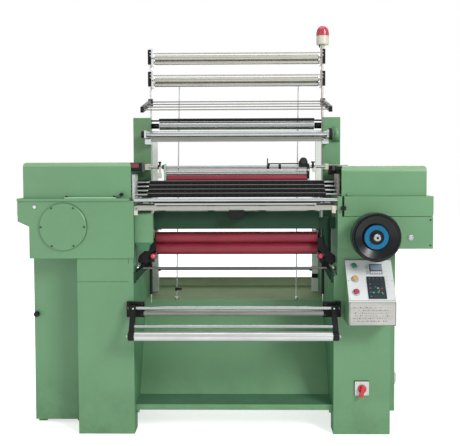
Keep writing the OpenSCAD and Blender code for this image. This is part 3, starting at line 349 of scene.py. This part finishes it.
PLAIN = {
    "green_paint": GREEN, "dark_green_paint": DARK_GREEN_AND_SHADE, "cream_paint": CREAM, "steel": STEEL,
    "chrome_plate": CHROME, "black_paint": BLACK_PAINT, "black_gloss": BLACK_GLOSS, "belt_rubber": BELT,
    "panel_sheet": PANEL, "green_plastic": GREEN_LENS, "amber_plastic": AMBER_LENS, "red_plastic": RED_LENS,
    "dome_plastic": DOME, "cable_sheath": SHEATH, "crimson_rubber": CRIMSON, "knob_plastic": BALL,
    "drum_paint": DRUM_RED, "motor_paint": MOTOR, "device_plastic": GREY_PLASTIC,
}
OTHER = {"red_button": CRIMSON_LENS, "creel_roller_upper": WORN_STEEL, "creel_roller_lower": WORN_STEEL}
for part in frame["record"]["subparts"]:
    ob = NODES[part["node"]]
    ob.data.materials.clear()
    ob.data.materials.append(OTHER.get(part["node"], PLAIN[part["material_slot"]]))


# ---------------------------------------------------------------- zones on CAD nodes
class Zone:
    """Lays several finishes over one CAD node: pick gets a face's middle in mm and its normal."""

    def __init__(self, node, mats, pick):
        ob = NODES[node]
        ob.data.materials.clear()
        for m in mats:
            ob.data.materials.append(m)
        for p in ob.data.polygons:
            c = Vector((0, 0, 0))
            for i in p.vertices:
                c += ob.data.vertices[i].co
            c *= 1000 / len(p.vertices)
            p.material_index = pick(c.x, c.y, c.z, p.normal)


def dist(a, b, p, q):
    return math.hypot(a - p, b - q)


# places of the construction, in mm, that come back below
MID = 55                            # x of the works' middle
WX, WZ = 669, 927.5                 # handwheel axis
TIE_Y, TIE_Z = -303, 766            # tie rod of the take-up
ROLL_Y, ROLL_Z = -479.7, 487.3      # axis of the large take-up roller
HEAD_Y, HEAD_Z = -190, 1238         # head rod
FEED_Y, FEED_Z = -70, 1440.5        # rear feed roller
BEACON_X, BEACON_Y = 481, -60
HOUSING_FRONT = -368
CONSOLE = (547, -500, 649)          # lower left corner of the sloping plate
SLOPE_DEEP, SLOPE_HIGH = 125, 162
SLOPE_LEN = math.hypot(SLOPE_DEEP, SLOPE_HIGH)
SN, CN = SLOPE_DEEP / SLOPE_LEN, SLOPE_HIGH / SLOPE_LEN

Zone("handwheel", [BLACK_GLOSS, plastic("blue_ring", (2, 104, 146), 0.3, 0.3), CHROME],
     lambda x, y, z, n: 2 if dist(x, z, WX, WZ) < 17.6 or y > -459 and dist(x, z, WX, WZ) < 23 else
     (1 if 31 < dist(x, z, WX, WZ) < 53.6 and y < -485.2 else 0))
Zone("feed_roller_front", [CHROME, BLACK_PLASTIC], lambda x, y, z, n: 1 if x < -389.5 or x > 499.5 else 0)
Zone("weft_carriage", [PANEL, CHROME, BLACK_PAINT, TAUPE],
     lambda x, y, z, n: 2 if -417 < x < 518 else
     (1 if z < (1088 if x < 0 else 1102.5) else (0 if x < 0 else 3)))
for k in range(1, 5):
    Zone("weft_bar_%d" % k, [BLACK_PAINT, CHROME], lambda x, y, z, n: 0 if -359.5 < x < 469.5 else 1)
Zone("bed_rails", [RAIL_CREAM, CHROME, BLACK_PAINT],
     lambda x, y, z, n: 1 if z > 1077 and y < -346 and not (-374 < x < -348 and y > -354) else
     (2 if y > -352 and not (-374 < x < -348 or 459 < x < 485) else 0))
Zone("warp_bar", [STEEL, BLACK_PAINT],
     lambda x, y, z, n: 1 if y < -361.5 and 1062 < z < 1071.5 and (x < -315 or x > 415) else 0)
# left part of the head brackets in the lighter green copy, painted light
Zone("head_brackets", [BLACK_PAINT, CREAM, LIT_GREEN],
     lambda x, y, z, n: 1 if abs(x - MID) > 422 else (2 if x < -200 else 0))
Zone("dancer_frame", [BLACK_PAINT, GREY_BAR], lambda x, y, z, n: 1 if -368 < x < 448 else 0)
Zone("dancer_arms", [BLACK_PAINT, CHROME],
     lambda x, y, z, n: 1 if -402.9 < x < 482.9 or dist(y, z, -400, 597) < 8 else 0)
Zone("takeup_frame", [BLACK_PAINT, STEEL, DARK_GREEN_AND_SHADE, TIE_STEEL],
     lambda x, y, z, n: 1 if z < 640.5 else (3 if dist(y, z, TIE_Y, TIE_Z) < 6.3 and abs(x - 48) < 465 else
                                             (2 if z < 772 and y < -296 else 0)))
Zone("cross_shaft", [DARK_STEEL, BLACK_PAINT], lambda x, y, z, n: 1 if x < -680 else 0)
Zone("pattern_drum", [DRUM_RED, STEEL], lambda x, y, z, n: 1 if dist(x, z, -634, 1180) < 11 else 0)
Zone("bed_knob", [BLACK_PLASTIC, STEEL], lambda x, y, z, n: 1 if y > -371.5 else 0)
Zone("panel_plates", [PANEL, BEZEL, PLATE_STEEL],
     lambda x, y, z, n: 0 if z < 400 else 2 if z < 644 else
     (1 if -(y - CONSOLE[1]) * CN + (z - CONSOLE[2]) * SN > 2.6 else 0))
# left column in the darker green copy, painted shade
Zone("columns", [GREEN, LEFT_COLUMN_SHADE], lambda x, y, z, n: 1 if x < 0 else 0)
# left side box below 889.5 mm in the darker shade green, painted shade
Zone("side_boxes", [GREEN, DARK_GREEN_AND_SHADE, SHADE_GREEN],
     lambda x, y, z, n: 1 if x > 0 else (2 if z < 889.5 else 0))
# rear uprights behind y 284.9 mm in the brightened cream, painted light
Zone("rear_uprights", [LIT_CREAM, BLACK_PAINT], lambda x, y, z, n: 1 if y < 284.9 else 0)
Zone("takeup_knob_left", [BALL, STEEL], lambda x, y, z, n: 1 if y > -296 else 0)
Zone("takeup_knob_right", [BALL, STEEL], lambda x, y, z, n: 1 if y > -296 else 0)
Zone("cabinet_door", [GREEN, BLACK_PLASTIC], lambda x, y, z, n: 1 if y < -220.5 else 0)
Zone("side_door", [GREEN, STEEL], lambda x, y, z, n: 1 if x > 804.5 else 0)
# the hoods' upward-facing top edges take the lighter green copy, a painted sheen
Zone("left_hood", [GREEN, BLACK_PLASTIC, BLACK_PAINT, HOOD_SHEEN],
     lambda x, y, z, n: 1 if y < -345.5 else (2 if x > -429.5 else (3 if n.z > 0.25 and z > 1180 else 0)))
Zone("right_hood", [GREEN, BLACK_PAINT, HOOD_SHEEN],
     lambda x, y, z, n: 1 if x < 535.5 else (2 if n.z > 0.25 and z > 1180 else 0))
# inner walls of both housings in the darker shade green, painted shade
Zone("left_housing", [GREEN, SHADE_GREEN],
     lambda x, y, z, n: 1 if n.x > 0.5 and x > -417 and z < 1090 else 0)
Zone("right_housing", [GREEN, SHADE_GREEN],
     lambda x, y, z, n: 1 if n.x < -0.5 and x < 517.5 and z < 1090 else 0)
# legs' inner walls in the darker green copy, painted shade
Zone("left_leg", [GREEN, INNER_SHADE_GREEN], lambda x, y, z, n: 1 if n.x > 0.5 and x > -430 else 0)
Zone("right_leg", [GREEN, INNER_SHADE_GREEN], lambda x, y, z, n: 1 if n.x < -0.5 and x < 517.5 else 0)
Zone("drive_panel", [GREY_PLASTIC, STEEL], lambda x, y, z, n: 1 if x < 524.5 else 0)
# tray: index 3, the up-facing floor and top of the front fold, is painted shade; index 1, the rear lip, is
# painted light
Zone("base_tray", [GREEN, LIT_OLIVE, PALE_OLIVE, SHADE_GREEN],
     lambda x, y, z, n: (3 if n.z > 0.9 and (z < 140 or z > 540) else 0) if z < 545.4 or y < 52 else
     (1 if y > 462 and z > 549 and n.y < -0.5 else 2))
Zone("creel_brackets", [BLACK_PAINT, PANEL], lambda x, y, z, n: 1 if z > 1600 and abs(x - MID) < 418.5 else 0)
Zone("feed_brackets", [PANEL, GREY_BAR, BLACK_PAINT],
     lambda x, y, z, n: 2 if z > 1460 else (1 if abs(x - MID) < 414 and z < 1381 else 0))
Zone("creel_rods", [WORN_STEEL, GREY_BAR], lambda x, y, z, n: 1 if z < 1600 else 0)


# ---------------------------------------------------------------- small pieces
class Piece:
    """Gathers simple solids, given in millimetres, into one object."""

    def __init__(self, name, mat, body="frame", slot=None):
        self.name, self.mat, self.body, self.slot = name, mat, body, slot
        self.bm = bmesh.new()
        self.at = Matrix.Identity(4)

    def _take(self, verts, m):
        bmesh.ops.transform(self.bm, matrix=self.at @ m, verts=verts)

    def box(self, x0, x1, y0, y1, z0, z1, bev=0.0):
        geo = bmesh.ops.create_cube(self.bm, size=1)
        mid = Matrix.Translation(((x0 + x1) / 2, (y0 + y1) / 2, (z0 + z1) / 2))
        self._take(geo["verts"], mid @ Matrix.Diagonal((x1 - x0, y1 - y0, z1 - z0, 1)))
        if bev:
            es = list(dict.fromkeys(e for v in geo["verts"] for e in v.link_edges))
            bmesh.ops.bevel(self.bm, geom=es, offset=bev, segments=2, affect="EDGES", profile=0.5)
        return self

    def rod(self, a, b, r, r2=None, seg=24):
        a, b = Vector(a), Vector(b)
        d = b - a
        geo = bmesh.ops.create_cone(self.bm, cap_ends=True, segments=seg, radius1=r,
                                    radius2=r if r2 is None else r2, depth=d.length)
        m = Matrix.Translation((a + b) / 2) @ d.to_track_quat("Z", "Y").to_matrix().to_4x4()
        self._take(geo["verts"], m)
        if seg > 8:
            for f in {f for v in geo["verts"] for f in v.link_faces}:
                f.smooth = len(f.verts) == 4
        return self

    def ball(self, c, r, seg=16):
        geo = bmesh.ops.create_uvsphere(self.bm, u_segments=seg, v_segments=seg // 2, radius=r)
        self._take(geo["verts"], Matrix.Translation(c))
        for f in {f for v in geo["verts"] for f in v.link_faces}:
            f.smooth = True
        return self

    def plate(self, outline, y0, y1):
        """A flat plate whose outline lies in X and Z."""
        lo, hi = ([self.bm.verts.new(self.at @ Vector((q.x, y, q.z))) for q in outline] for y in (y0, y1))
        self.bm.faces.new(lo)
        self.bm.faces.new(hi[::-1])
        for i in range(len(lo)):
            j = (i + 1) % len(lo)
            self.bm.faces.new((lo[i], hi[i], hi[j], lo[j]))
        return self

    def ring(self, c, axis, r, t, seg=24, sides=8):
        """A torus round an axis through c."""
        q = Vector(axis).to_track_quat("Z", "Y").to_matrix().to_4x4()
        m = Matrix.Translation(c) @ q
        rows = []
        for i in range(seg):
            a = 2 * math.pi * i / seg
            row = []
            for j in range(sides):
                b = 2 * math.pi * j / sides
                far = r + t * math.cos(b)
                p = Vector((far * math.cos(a), far * math.sin(a), t * math.sin(b)))
                row.append(self.bm.verts.new(self.at @ m @ p))
            rows.append(row)
        for i in range(seg):
            for j in range(sides):
                i1, j1 = (i + 1) % seg, (j + 1) % sides
                f = self.bm.faces.new((rows[i][j], rows[i1][j], rows[i1][j1], rows[i][j1]))
                f.smooth = True
        return self

    def hexbolt(self, c, axis, r=6, h=5):
        """Hexagon head on a washer, standing out along axis from the face at c."""
        c, n = Vector(c), Vector(axis).normalized()
        self.rod(c - n * 0.4, c + n * 1.4, r * 1.45, seg=20)
        self.rod(c + n, c + n * (h + 1), r, seg=6)
        self.rod(c + n * (h + 1), c + n * (h + 1.7), r * 0.82, r * 0.6, seg=12)
        return self

    def capscrew(self, c, axis, r=4.5, h=4):
        """Round head with a slightly smaller cap on it."""
        c, n = Vector(c), Vector(axis).normalized()
        self.rod(c - n * 0.3, c + n * h, r, seg=16)
        self.rod(c + n * h, c + n * (h + 0.5), r * 0.94, r * 0.85, seg=16)
        return self

    def done(self):
        me = bpy.data.meshes.new(self.name)
        bmesh.ops.transform(self.bm, matrix=Matrix.Scale(0.001, 4), verts=self.bm.verts)
        bmesh.ops.recalc_face_normals(self.bm, faces=self.bm.faces)
        self.bm.to_mesh(me)
        self.bm.free()
        me.materials.append(self.mat)
        ob = bpy.data.objects.new(self.name, me)
        scene.collection.objects.link(ob)
        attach(ob, self.body)
        return ob


FRONT, UP = (0, -1, 0), (0, 0, 1)
HOLE = plastic("dark_recess", (12, 12, 12), 0.7)
MARK = plastic("grey_mark", (150, 152, 154), 0.5)
DARK_MARK = plastic("dark_mark", (32, 40, 44), 0.5, 0.3)
PLATE_MARK = plastic("plate_mark", (132, 134, 132), 0.5)
SCREEN = plastic("counter_screen", (128, 148, 160), 0.2, 0.4, coat=0.2)
KEY = plastic("dark_keys", (40, 50, 56), 0.5, 0.3)
TEAL_KEY = plastic("teal_key", (58, 150, 146), 0.4)

# housings: deck bar, bolts, cover screws and plugs
# the deck bar in the lighter green copy, painted light
Piece("deck_bar", LIT_GREEN, slot="green_paint").box(-731, -497, -374.5, -352, 1096, 1101.5, 1).done()
p = Piece("left_bolts", BLACK_PAINT, slot="black_paint")
for x in (-724, -504):
    p.hexbolt((x, -363, 1101.5), UP, 5.5, 5)
p.hexbolt((-905, -180, 1096), UP, 7, 5)
p.hexbolt((-905, 120, 1096), UP, 7, 5)
p.done()
p = Piece("cover_screws", DARK_STEEL, slot="steel")
for k in range(6):
    a = math.radians(60 * k)
    p.capscrew((-740 + 100 * math.cos(a), HOUSING_FRONT - 14, 966 + 100 * math.sin(a)), FRONT, 4.2, 1.6)
p.done()
Piece("left_plug", STEEL, slot="steel").rod(
    (-870, HOUSING_FRONT - 0.3, 1057.5), (-870, HOUSING_FRONT - 4, 1057.5), 9, 7.5).done()
p = Piece("right_bolt", CHROME, slot="chrome_plate")
p.rod((847, HOUSING_FRONT - 0.3, 914), (847, HOUSING_FRONT - 3, 914), 13)
p.rod((847, HOUSING_FRONT - 3, 914), (847, HOUSING_FRONT - 6, 914), 11, 9).done()
p = Piece("right_bolts", DARK_STEEL, slot="steel")
for x, z in ((937, 994), (937, 878)):
    p.capscrew((x, HOUSING_FRONT, z), FRONT, 4, 2.4)
p.done()

# control panel: everything lies on the sloping plate
TILT = math.atan2(SLOPE_DEEP, SLOPE_HIGH)
SLOPE = Matrix.Translation(CONSOLE) @ Matrix.Rotation(math.pi / 2 - TILT, 4, "X")


def on_slope(name, mat, slot):
    q = Piece(name, mat, slot=slot)
    q.at = SLOPE
    return q


T = 2.0  # the plate's thickness
on_slope("keypad", DARK_MARK, "device_plastic").box(88, 169, 8, 119, T, T + 3, 1).done()
q = on_slope("keypad_keys", KEY, "device_plastic")
for i in range(4):
    for j in range(5):
        q.box(95 + i * 17.5, 108 + i * 17.5, 14 + j * 20, 28 + j * 20, T + 2.5, T + 4.2, 0.6)
q.done()
q = on_slope("keypad_green_keys", GREEN_LENS, "green_plastic")
q.rod((134, 39, T + 4), (134, 39, T + 5), 5, seg=16).rod((153, 32, T + 4), (153, 32, T + 5), 4, seg=16).done()
on_slope("keypad_red_keys", CRIMSON_LENS, "red_plastic").rod(
    (150, 57, T + 4), (150, 57, T + 5), 4, seg=16).done()
on_slope("keypad_teal_keys", TEAL_KEY, "device_plastic").rod(
    (134, 59, T + 4), (134, 59, T + 5), 5, seg=16).rod((113, 38, T + 4), (113, 38, T + 5), 4.5, seg=16).done()
q = on_slope("keypad_marks", MARK, "device_plastic")
for i in range(4):
    q.box(98 + i * 17.5, 103 + i * 17.5, 108, 109.4, T + 4.2, T + 4.6)
for j in range(4):
    q.box(97, 104, 19 + j * 20, 20.6 + j * 20, T + 4.2, T + 4.6)
for u, v, r in ((139, 47, 2.4), (150, 38, 2.2), (125, 66, 1.8)):
    q.rod((u, v, T + 4), (u, v, T + 4.9), r, seg=14)
q.done()
on_slope("counter_frame", MARK, "device_plastic").box(106, 164, 130, 182, T, T + 4, 1.2).done()
on_slope("counter_edge", DARK_MARK, "device_plastic").box(107, 110.5, 146, 181, T + 3, T + 4.6).box(
    107, 163, 146, 149.5, T + 3, T + 4.6).box(107, 163, 178.5, 181, T + 3, T + 4.6).done()
on_slope("counter_screen", SCREEN, "device_plastic").box(111, 162, 150, 178, T + 3, T + 4.4, 0.5).done()
q = on_slope("counter_keys", BEZEL, "device_plastic")
for i in range(5):
    q.box(111.5 + i * 9.8, 118.5 + i * 9.8, 135, 143, T + 3, T + 4.8, 0.5)
q.done()
q = on_slope("scale_marks", DARK_MARK, "device_plastic")
for i in range(8):
    q.box(92 if i % 2 else 88, 101, 133 + i * 6.4, 134.6 + i * 6.4, T, T + 0.35)
q.done()
for colour, mat, v in (("green", GREEN_LENS, 172), ("amber", AMBER_LENS, 107), ("red", CRIMSON_LENS, 41)):
    q = Piece(colour + "_lens_cap", mat, colour + "_button", slot=colour + "_plastic")
    q.at = SLOPE
    q.rod((37, v, T + 7.4), (37, v, T + 9.4), 8.2, seg=28)
    q.rod((37, v, T + 9.4), (37, v, T + 12.2), 12.6, 11.6, seg=32)
    q.rod((37, v, T + 12.2), (37, v, T + 13.2), 11.6, 8.0, seg=32).done()
q = on_slope("button_outlines", DARK_MARK, "device_plastic")
for v in (41.5, 107, 172.5):
    q.ring((37, v, T + 0.6), UP, 15.2, 0.9, seg=28, sides=6)
q.done()
q = on_slope("faint_marks", MARK, "device_plastic")
for v in (70, 88, 104, 126, 150):
    q.box(82, 86, v, v + 1.4, T, T + 0.3).box(176, 182, v - 6, v - 4.6, T, T + 0.3)
q.done()
q = on_slope("panel_screws", STEEL, "steel")
for u in (8, 202):
    for v in (8, 100, 196):
        q.rod((u, v, T - 0.3), (u, v, T + 1.6), 3.4, 2.4, seg=14)
q.done()
# white strip over the gap above the lower plate, a painted highlight line
Piece("console_highlight_strip", PANEL, slot="panel_sheet").box(547.5, 756.5, -501.6, -500, 643.4, 648.6, 0.3).done()
p = Piece("lower_plate_rivets", STEEL, slot="steel")
for x in (560, 744):
    for z in (552, 634):
        p.ball((x, -502.2, z), 3)
p.done()
p = Piece("lower_plate_frame", PLATE_MARK, slot="device_plastic")
p.box(552, 753, -502.8, -502, 541, 542.6).box(552, 753, -502.8, -502, 640.4, 642)
p.box(552, 553.6, -502.8, -502, 541, 642).box(751.4, 753, -502.8, -502, 541, 642).done()
p = Piece("lower_plate_marks", KEY, slot="device_plastic")
for k in range(6):
    x = 568.0
    while x < 690 + 50 * random.random():
        w = random.uniform(2, 6)
        if random.random() < 0.8:
            p.box(x, x + w, -502.4, -502, 558 + 12 * k, 559.6 + 12 * k + random.choice((0, 2)))
        x += w + random.uniform(3, 7)
p.done()
# dark green gasket behind the switch plate, set 2 mm left and up so that it shows at the left and top as
# painted shadow
Piece("switch_gasket_and_shadow", DARK_GREEN_AND_SHADE, slot="green_paint").box(594, 662, -362, -360, 183.5, 252, 0.4).done()
p = Piece("switch_screws", STEEL, slot="steel")
for x in (603, 657):
    for z in (189, 243):
        p.rod((x, -364.8, z), (x, -366.6, z), 2.8, 2.0, seg=14)
p.done()

# press tube strips, needles, comb, yarn-laying bars with painted highlight edges, a liner in the left hood
# and a black sheet of painted shade in the right hood's end
Piece("press_strip", RAIL_CREAM, slot="cream_paint").box(-296, 406, -203, -200.5, 1217.8, 1224.2, 0.5).done()
Piece("press_strip_edge", BLACK_PAINT, slot="black_paint").box(
    -296, 406, -203, -199, 1226.2, 1229.8, 0.4).done()
p = Piece("needles", CHROME, "needle_bar", slot="steel")
for k in range(254):
    x = MID + (k - 126.5) * 3.0
    p.box(x - 0.35, x + 0.35, -337, -300, 1083.6, 1085.2)
    p.box(x - 0.35, x + 0.35, -338.2, -336.4, 1083.6, 1087.2)
p.done()
p = Piece("comb_teeth", DARK_STEEL, slot="steel")
p.box(-330, 440, -347.4, -343.5, 1060, 1077)
for k in range(128):
    x = MID + (k - 63.5) * 6.0
    p.box(x - 0.8, x + 0.8, -347.0, -341, 1076, 1081.5)
p.done()
for k in range(4):
    y, z = -310 + 24 * k, 1110 + 18.5 * k
    body = "weft_bar_%d" % (k + 1)
    # grey strip along each bar's upper front edge, a painted highlight
    p = Piece("bar_%d_edges" % (k + 1), GREY_BAR, body, slot="steel")
    p.box(-358, 468, y - 4.6, y - 3.6, z + 6.0, z + 8.0)
    p.done()
    p = Piece("bar_%d_strips" % (k + 1), BLACK_PAINT, body, slot="black_paint")
    p.box(-359, 469, y + 3.8, y + 5.4, z + 2, z + 13 if k < 3 else z + 8)
    if k == 0:
        p.box(-359, 469, y - 3, y - 1, z - 13, z - 8.3)
    p.done()
    p = Piece("bar_%d_guides" % (k + 1), DARK_STEEL, body, slot="black_paint")
    for i in range(28):
        x = -330 + i * 28.5
        p.rod((x, y - 3.8, z - 4), (x, y - 5.2, z - 4), 2.4, seg=12)
    p.done()

p = Piece("carriage_guards", BLACK_PAINT, "weft_carriage", slot="black_paint")
p.box(-416, -362, -228, -225.6, 1098, 1176).box(472, 517, -228, -225.6, 1106, 1176)
p.done()
Piece("left_hood_liner", DRUM_RED, "left_hood", slot="drum_paint").box(
    -428, -394, -341.2, -339.8, 1236, 1256, 0.5).done()
# black sheet in the right hood's end, painted shade
Piece("right_hood_end_shade", BLACK_PLASTIC, "right_hood", slot="black_paint").box(
    497, 538, -166, -163, 1199, 1241).done()

# front rails: end slides with screws, block and tab
p = Piece("rail_screws", DARK_STEEL, "warp_bar", slot="steel")
for k in range(7):
    for x0 in (-394, 432):
        p.capscrew((x0 + k * 11, -365, 1066.5), FRONT, 3, 1.6)
p.done()
p = Piece("plate_screws", DARK_STEEL, slot="steel")
for x in (-404, 502):
    p.capscrew((x, -362, 1049.5), FRONT, 3.0, 1.2)
p.done()
Piece("rail_tabs", CREAM, slot="cream_paint").box(-415, -397, -366, -362, 1018, 1040, 0.8).box(
    490, 508, -366, -362, 1026, 1060, 0.8).done()
Piece("middle_fitting", BLACK_PAINT, slot="black_paint").box(20, 90, -366, -357.4, 1000, 1041, 1.5).rod(
    (34, -366, 1034), (34, -368, 1034), 4).rod((76, -366, 1034), (76, -368, 1034), 4).done()
Piece("hub_socket", HOLE, "handwheel", slot="black_gloss").rod(
    (WX, -519.4, WZ), (WX, -520, WZ), 6, seg=6).done()
Piece("warp_bar_groove", DARK_STEEL, "warp_bar", slot="steel").box(
    -314, 414, -365.7, -364.8, 1060.6, 1064.4).done()

# head: collars and knobs on the rod, dial, catches and plate screws
p = Piece("head_collars", BLACK_PLASTIC, slot="black_paint")
for x in (-318, -296, 421, 206, 262):
    p.rod((x - 6, HEAD_Y, HEAD_Z), (x + 6, HEAD_Y, HEAD_Z), 10.5, seg=20)
for x, z0, z1, r0, r1 in ((-314, 1260, 1264, 5, 8), (421, 1258, 1263, 5, 9)):
    p.rod((x, HEAD_Y, 1246), (x, HEAD_Y, z0), r0, seg=14)
    p.rod((x, HEAD_Y, z0 - 2), (x, HEAD_Y, z1), r1, seg=14)
p.done()
Piece("stop_dial", DARK_STEEL, slot="black_paint").rod((375, -202, 1264), (375, -206, 1264), 13).rod(
    (375, -206, 1264), (375, -210, 1264), 5).done()
p = Piece("head_catches", CREAM, slot="cream_paint")
p.box(-326, -304, -206, -199, 1184, 1210, 1).box(-318, -308, -203, -190, 1206, 1238, 1)
p.box(417, 438, -204, -194, 1213, 1231, 1).box(424, 432, -201, -190, 1226, 1238, 1)
p.done()
p = Piece("head_plate_screws", STEEL, slot="steel")
for s in (-1, 1):
    x = MID + s * 343
    for z in (1176, 1222):
        p.hexbolt((x, -208, z), FRONT, 3.6, 3)
p.done()

# rear feed roller: scraper strip and end sleeves, black as painted shade; bearing boss of the front one on
# the right column
Piece("feed_strip", BLACK_PLASTIC, slot="black_paint").box(-329, 439, -85, -70, 1466, 1477, 0.8).done()
# black sleeves on the roller's ends, painted shade
p = Piece("feed_shade_sleeves", BLACK_PAINT, slot="black_paint")
p.rod((441, FEED_Y, FEED_Z), (477, FEED_Y, FEED_Z), 15)
p.rod((-331, FEED_Y, FEED_Z), (-367, FEED_Y, FEED_Z), 13)
p.done()
p = Piece("column_boss", GREEN, slot="green_paint")
p.rod((520, -100, 1396), (526, -100, 1396), 30, 36, 40).rod((526, -100, 1396), (558, -100, 1396), 36, 36, 40)
p.done()
Piece("feed_plate_holes", HOLE, slot="black_paint").rod(
    (472, -163.6, 1366), (472, -164.6, 1366), 3.6, seg=14).done()

# creel: plate holes, clamp screws and stay clamp; beacon: ring, lead and dome ribs
p = Piece("creel_plate_holes", HOLE, slot="black_paint")
for z in (1796, 1688):
    for s in (-1, 1):
        p.rod((MID + s * 412.5, -101.7, z - 26), (MID + s * 412.5, -102.4, z - 26), 3.4, seg=14)
p.done()
p = Piece("creel_clamp_screws", STEEL, slot="steel")
for z in (1796, 1688, 1563):
    for s in (-1, 1):
        p.capscrew((MID + s * 426, -69, z - 8), FRONT, 3.4, 3)
        p.capscrew((MID + s * 426, -69, z + 8 if z > 1600 else z + 4), FRONT, 3.4, 3)
p.done()
Piece("stay_clamp", BLACK_PLASTIC, slot="black_paint").box(-268, -257, 54, 68, 594, 612, 2).rod(
    (-258, 61, 603), (-234, 61, 603), 6, seg=16).done()
p = Piece("lamp_bits", BLACK_PLASTIC, slot="black_paint")
p.ring((BEACON_X, BEACON_Y, 1881.5), UP, 31.2, 0.9, seg=32)
p.rod((466, BEACON_Y, 1826), (466, BEACON_Y, 1838), 3.6, seg=14)
p.done()
p = Piece("dome_ribs", DOME, slot="dome_plastic")
for k in range(28):
    a = 2 * math.pi * k / 28
    x, y = BEACON_X + 30.8 * math.cos(a), BEACON_Y + 30.8 * math.sin(a)
    p.rod((x, y, 1883), (x, y, 1900), 0.9, seg=6)
p.done()

# take-up: screws, lever plates, pins, collars and the large roller's ends
p = Piece("takeup_screws", STEEL, slot="steel")
for s in (-1, 1):
    x = MID + s * 391
    p.capscrew((x, -262, 877), FRONT, 3.4, 2.4)
    p.capscrew((x, -262, 846), FRONT, 2.6, 2.0)
p.done()
p = Piece("takeup_levers", BLACK_PAINT, slot="black_paint")
for s in (-1, 1):
    out = [(378, 905), (399, 912), (408, 868), (458, 822), (464, 796), (442, 778), (412, 792), (409, 826),
           (398, 842), (382, 846), (376, 862)]
    p.plate([Vector((MID + s * h, 0, z)) for h, z in out[::s]], -299, -291)
p.done()
p = Piece("takeup_pins", STEEL, slot="steel")
p.rod((-335, -240, 942.5), (-302, -240, 942.5), 5.5).rod((445, -240, 942.5), (412, -240, 942.5), 5.5)
p.done()
# dark strip behind the nip of the take-up rollers, painted shade over the gap between them
Piece("nip_shade_strip", DARK_STEEL, slot="steel").box(-340, 450, -199, -196, 866, 881, 1).done()
p = Piece("tie_collars", STEEL, slot="steel")
p.rod((-420, TIE_Y, TIE_Z), (-400, TIE_Y, TIE_Z), 10.5).rod((516, TIE_Y, TIE_Z), (498, TIE_Y, TIE_Z), 10.5)
p.done()
p = Piece("block_screws", DARK_STEEL, slot="steel")
for x in (-379, 459):
    for z in (562, 610):
        p.capscrew((x, -380, z), FRONT, 4.4, 3)
p.done()
p = Piece("roller_ends", DARK_STEEL, "dancer_roller", slot="steel")
for x in (-399.4, 478.4):
    p.rod((x, ROLL_Y, ROLL_Z), (x + 1, ROLL_Y, ROLL_Z), 14, seg=28)
p.done()
p = Piece("roller_pins", STEEL, "dancer_roller", slot="steel")
p.rod((-430, ROLL_Y, ROLL_Z), (-436, ROLL_Y, ROLL_Z), 9, 7.5)
p.rod((510, ROLL_Y, ROLL_Z), (516, ROLL_Y, ROLL_Z), 9, 7.5)
p.done()
p = Piece("arm_screws", STEEL, "dancer_arms", slot="steel")
for x in (-415, 495):
    p.capscrew((x, -412.6, 597), FRONT, 4.2, 2.4)
p.done()

# cabinet and legs: hinges and louvres
p = Piece("cabinet_hinges", DARK_STEEL, slot="steel")
for z in (120, 700):
    p.rod((-683.4, -222, z - 22), (-683.4, -222, z + 22), 3.2, seg=14)
p.done()
p = Piece("side_hinges", DARK_STEEL, "side_door", slot="steel")
for z in (180, 460, 740):
    p.rod((808, 484, z - 26), (808, 484, z + 26), 4, seg=14)
p.done()
p = Piece("rear_louvres", DARK_GREEN_AND_SHADE, slot="green_paint")
for k in range(9):
    p.box(-870, -734, 419.6, 421.4, 560 + 16 * k, 565 + 16 * k, 0.5)
p.done()

# ---------------------------------------------------------------- floor and backdrop
def floor():
    t = Tree("pale_floor")
    c = t.mix(t.span(t.noise(2.0, 4), 0.3, 0.7), (0.90, 0.90, 0.90), (0.95, 0.95, 0.95))
    t.set(Base_Color=c, Roughness=0.8)
    glow = t.add("Emission")
    glow.inputs[0].default_value = (1, 1, 1, 1)
    far = t.add("VectorMath", operation="LENGTH")
    t.link(t.coord, far.inputs[0])
    t.link(t.span(far.outputs["Value"], 0.9, 2.4, 0.62, 1.0), glow.inputs[1])
    both = t.add("AddShader")
    t.link(t.bsdf.outputs[0], both.inputs[0])
    t.link(glow.outputs[0], both.inputs[1])
    pick = t.add("MixShader")
    t.link(seen_ray(t.t), pick.inputs[0])
    t.link(t.bsdf.outputs[0], pick.inputs[1])
    t.link(both.outputs[0], pick.inputs[2])
    t.link(pick.outputs[0], t.out.inputs[0])
    me = bpy.data.meshes.new("floor")
    s = 14
    me.from_pydata([(-s, -s, 0), (s, -s, 0), (s, s, 0), (-s, s, 0)], [], [(0, 1, 2, 3)])
    me.materials.append(t.mat)
    ob = bpy.data.objects.new("floor", me)
    scene.collection.objects.link(ob)


floor()
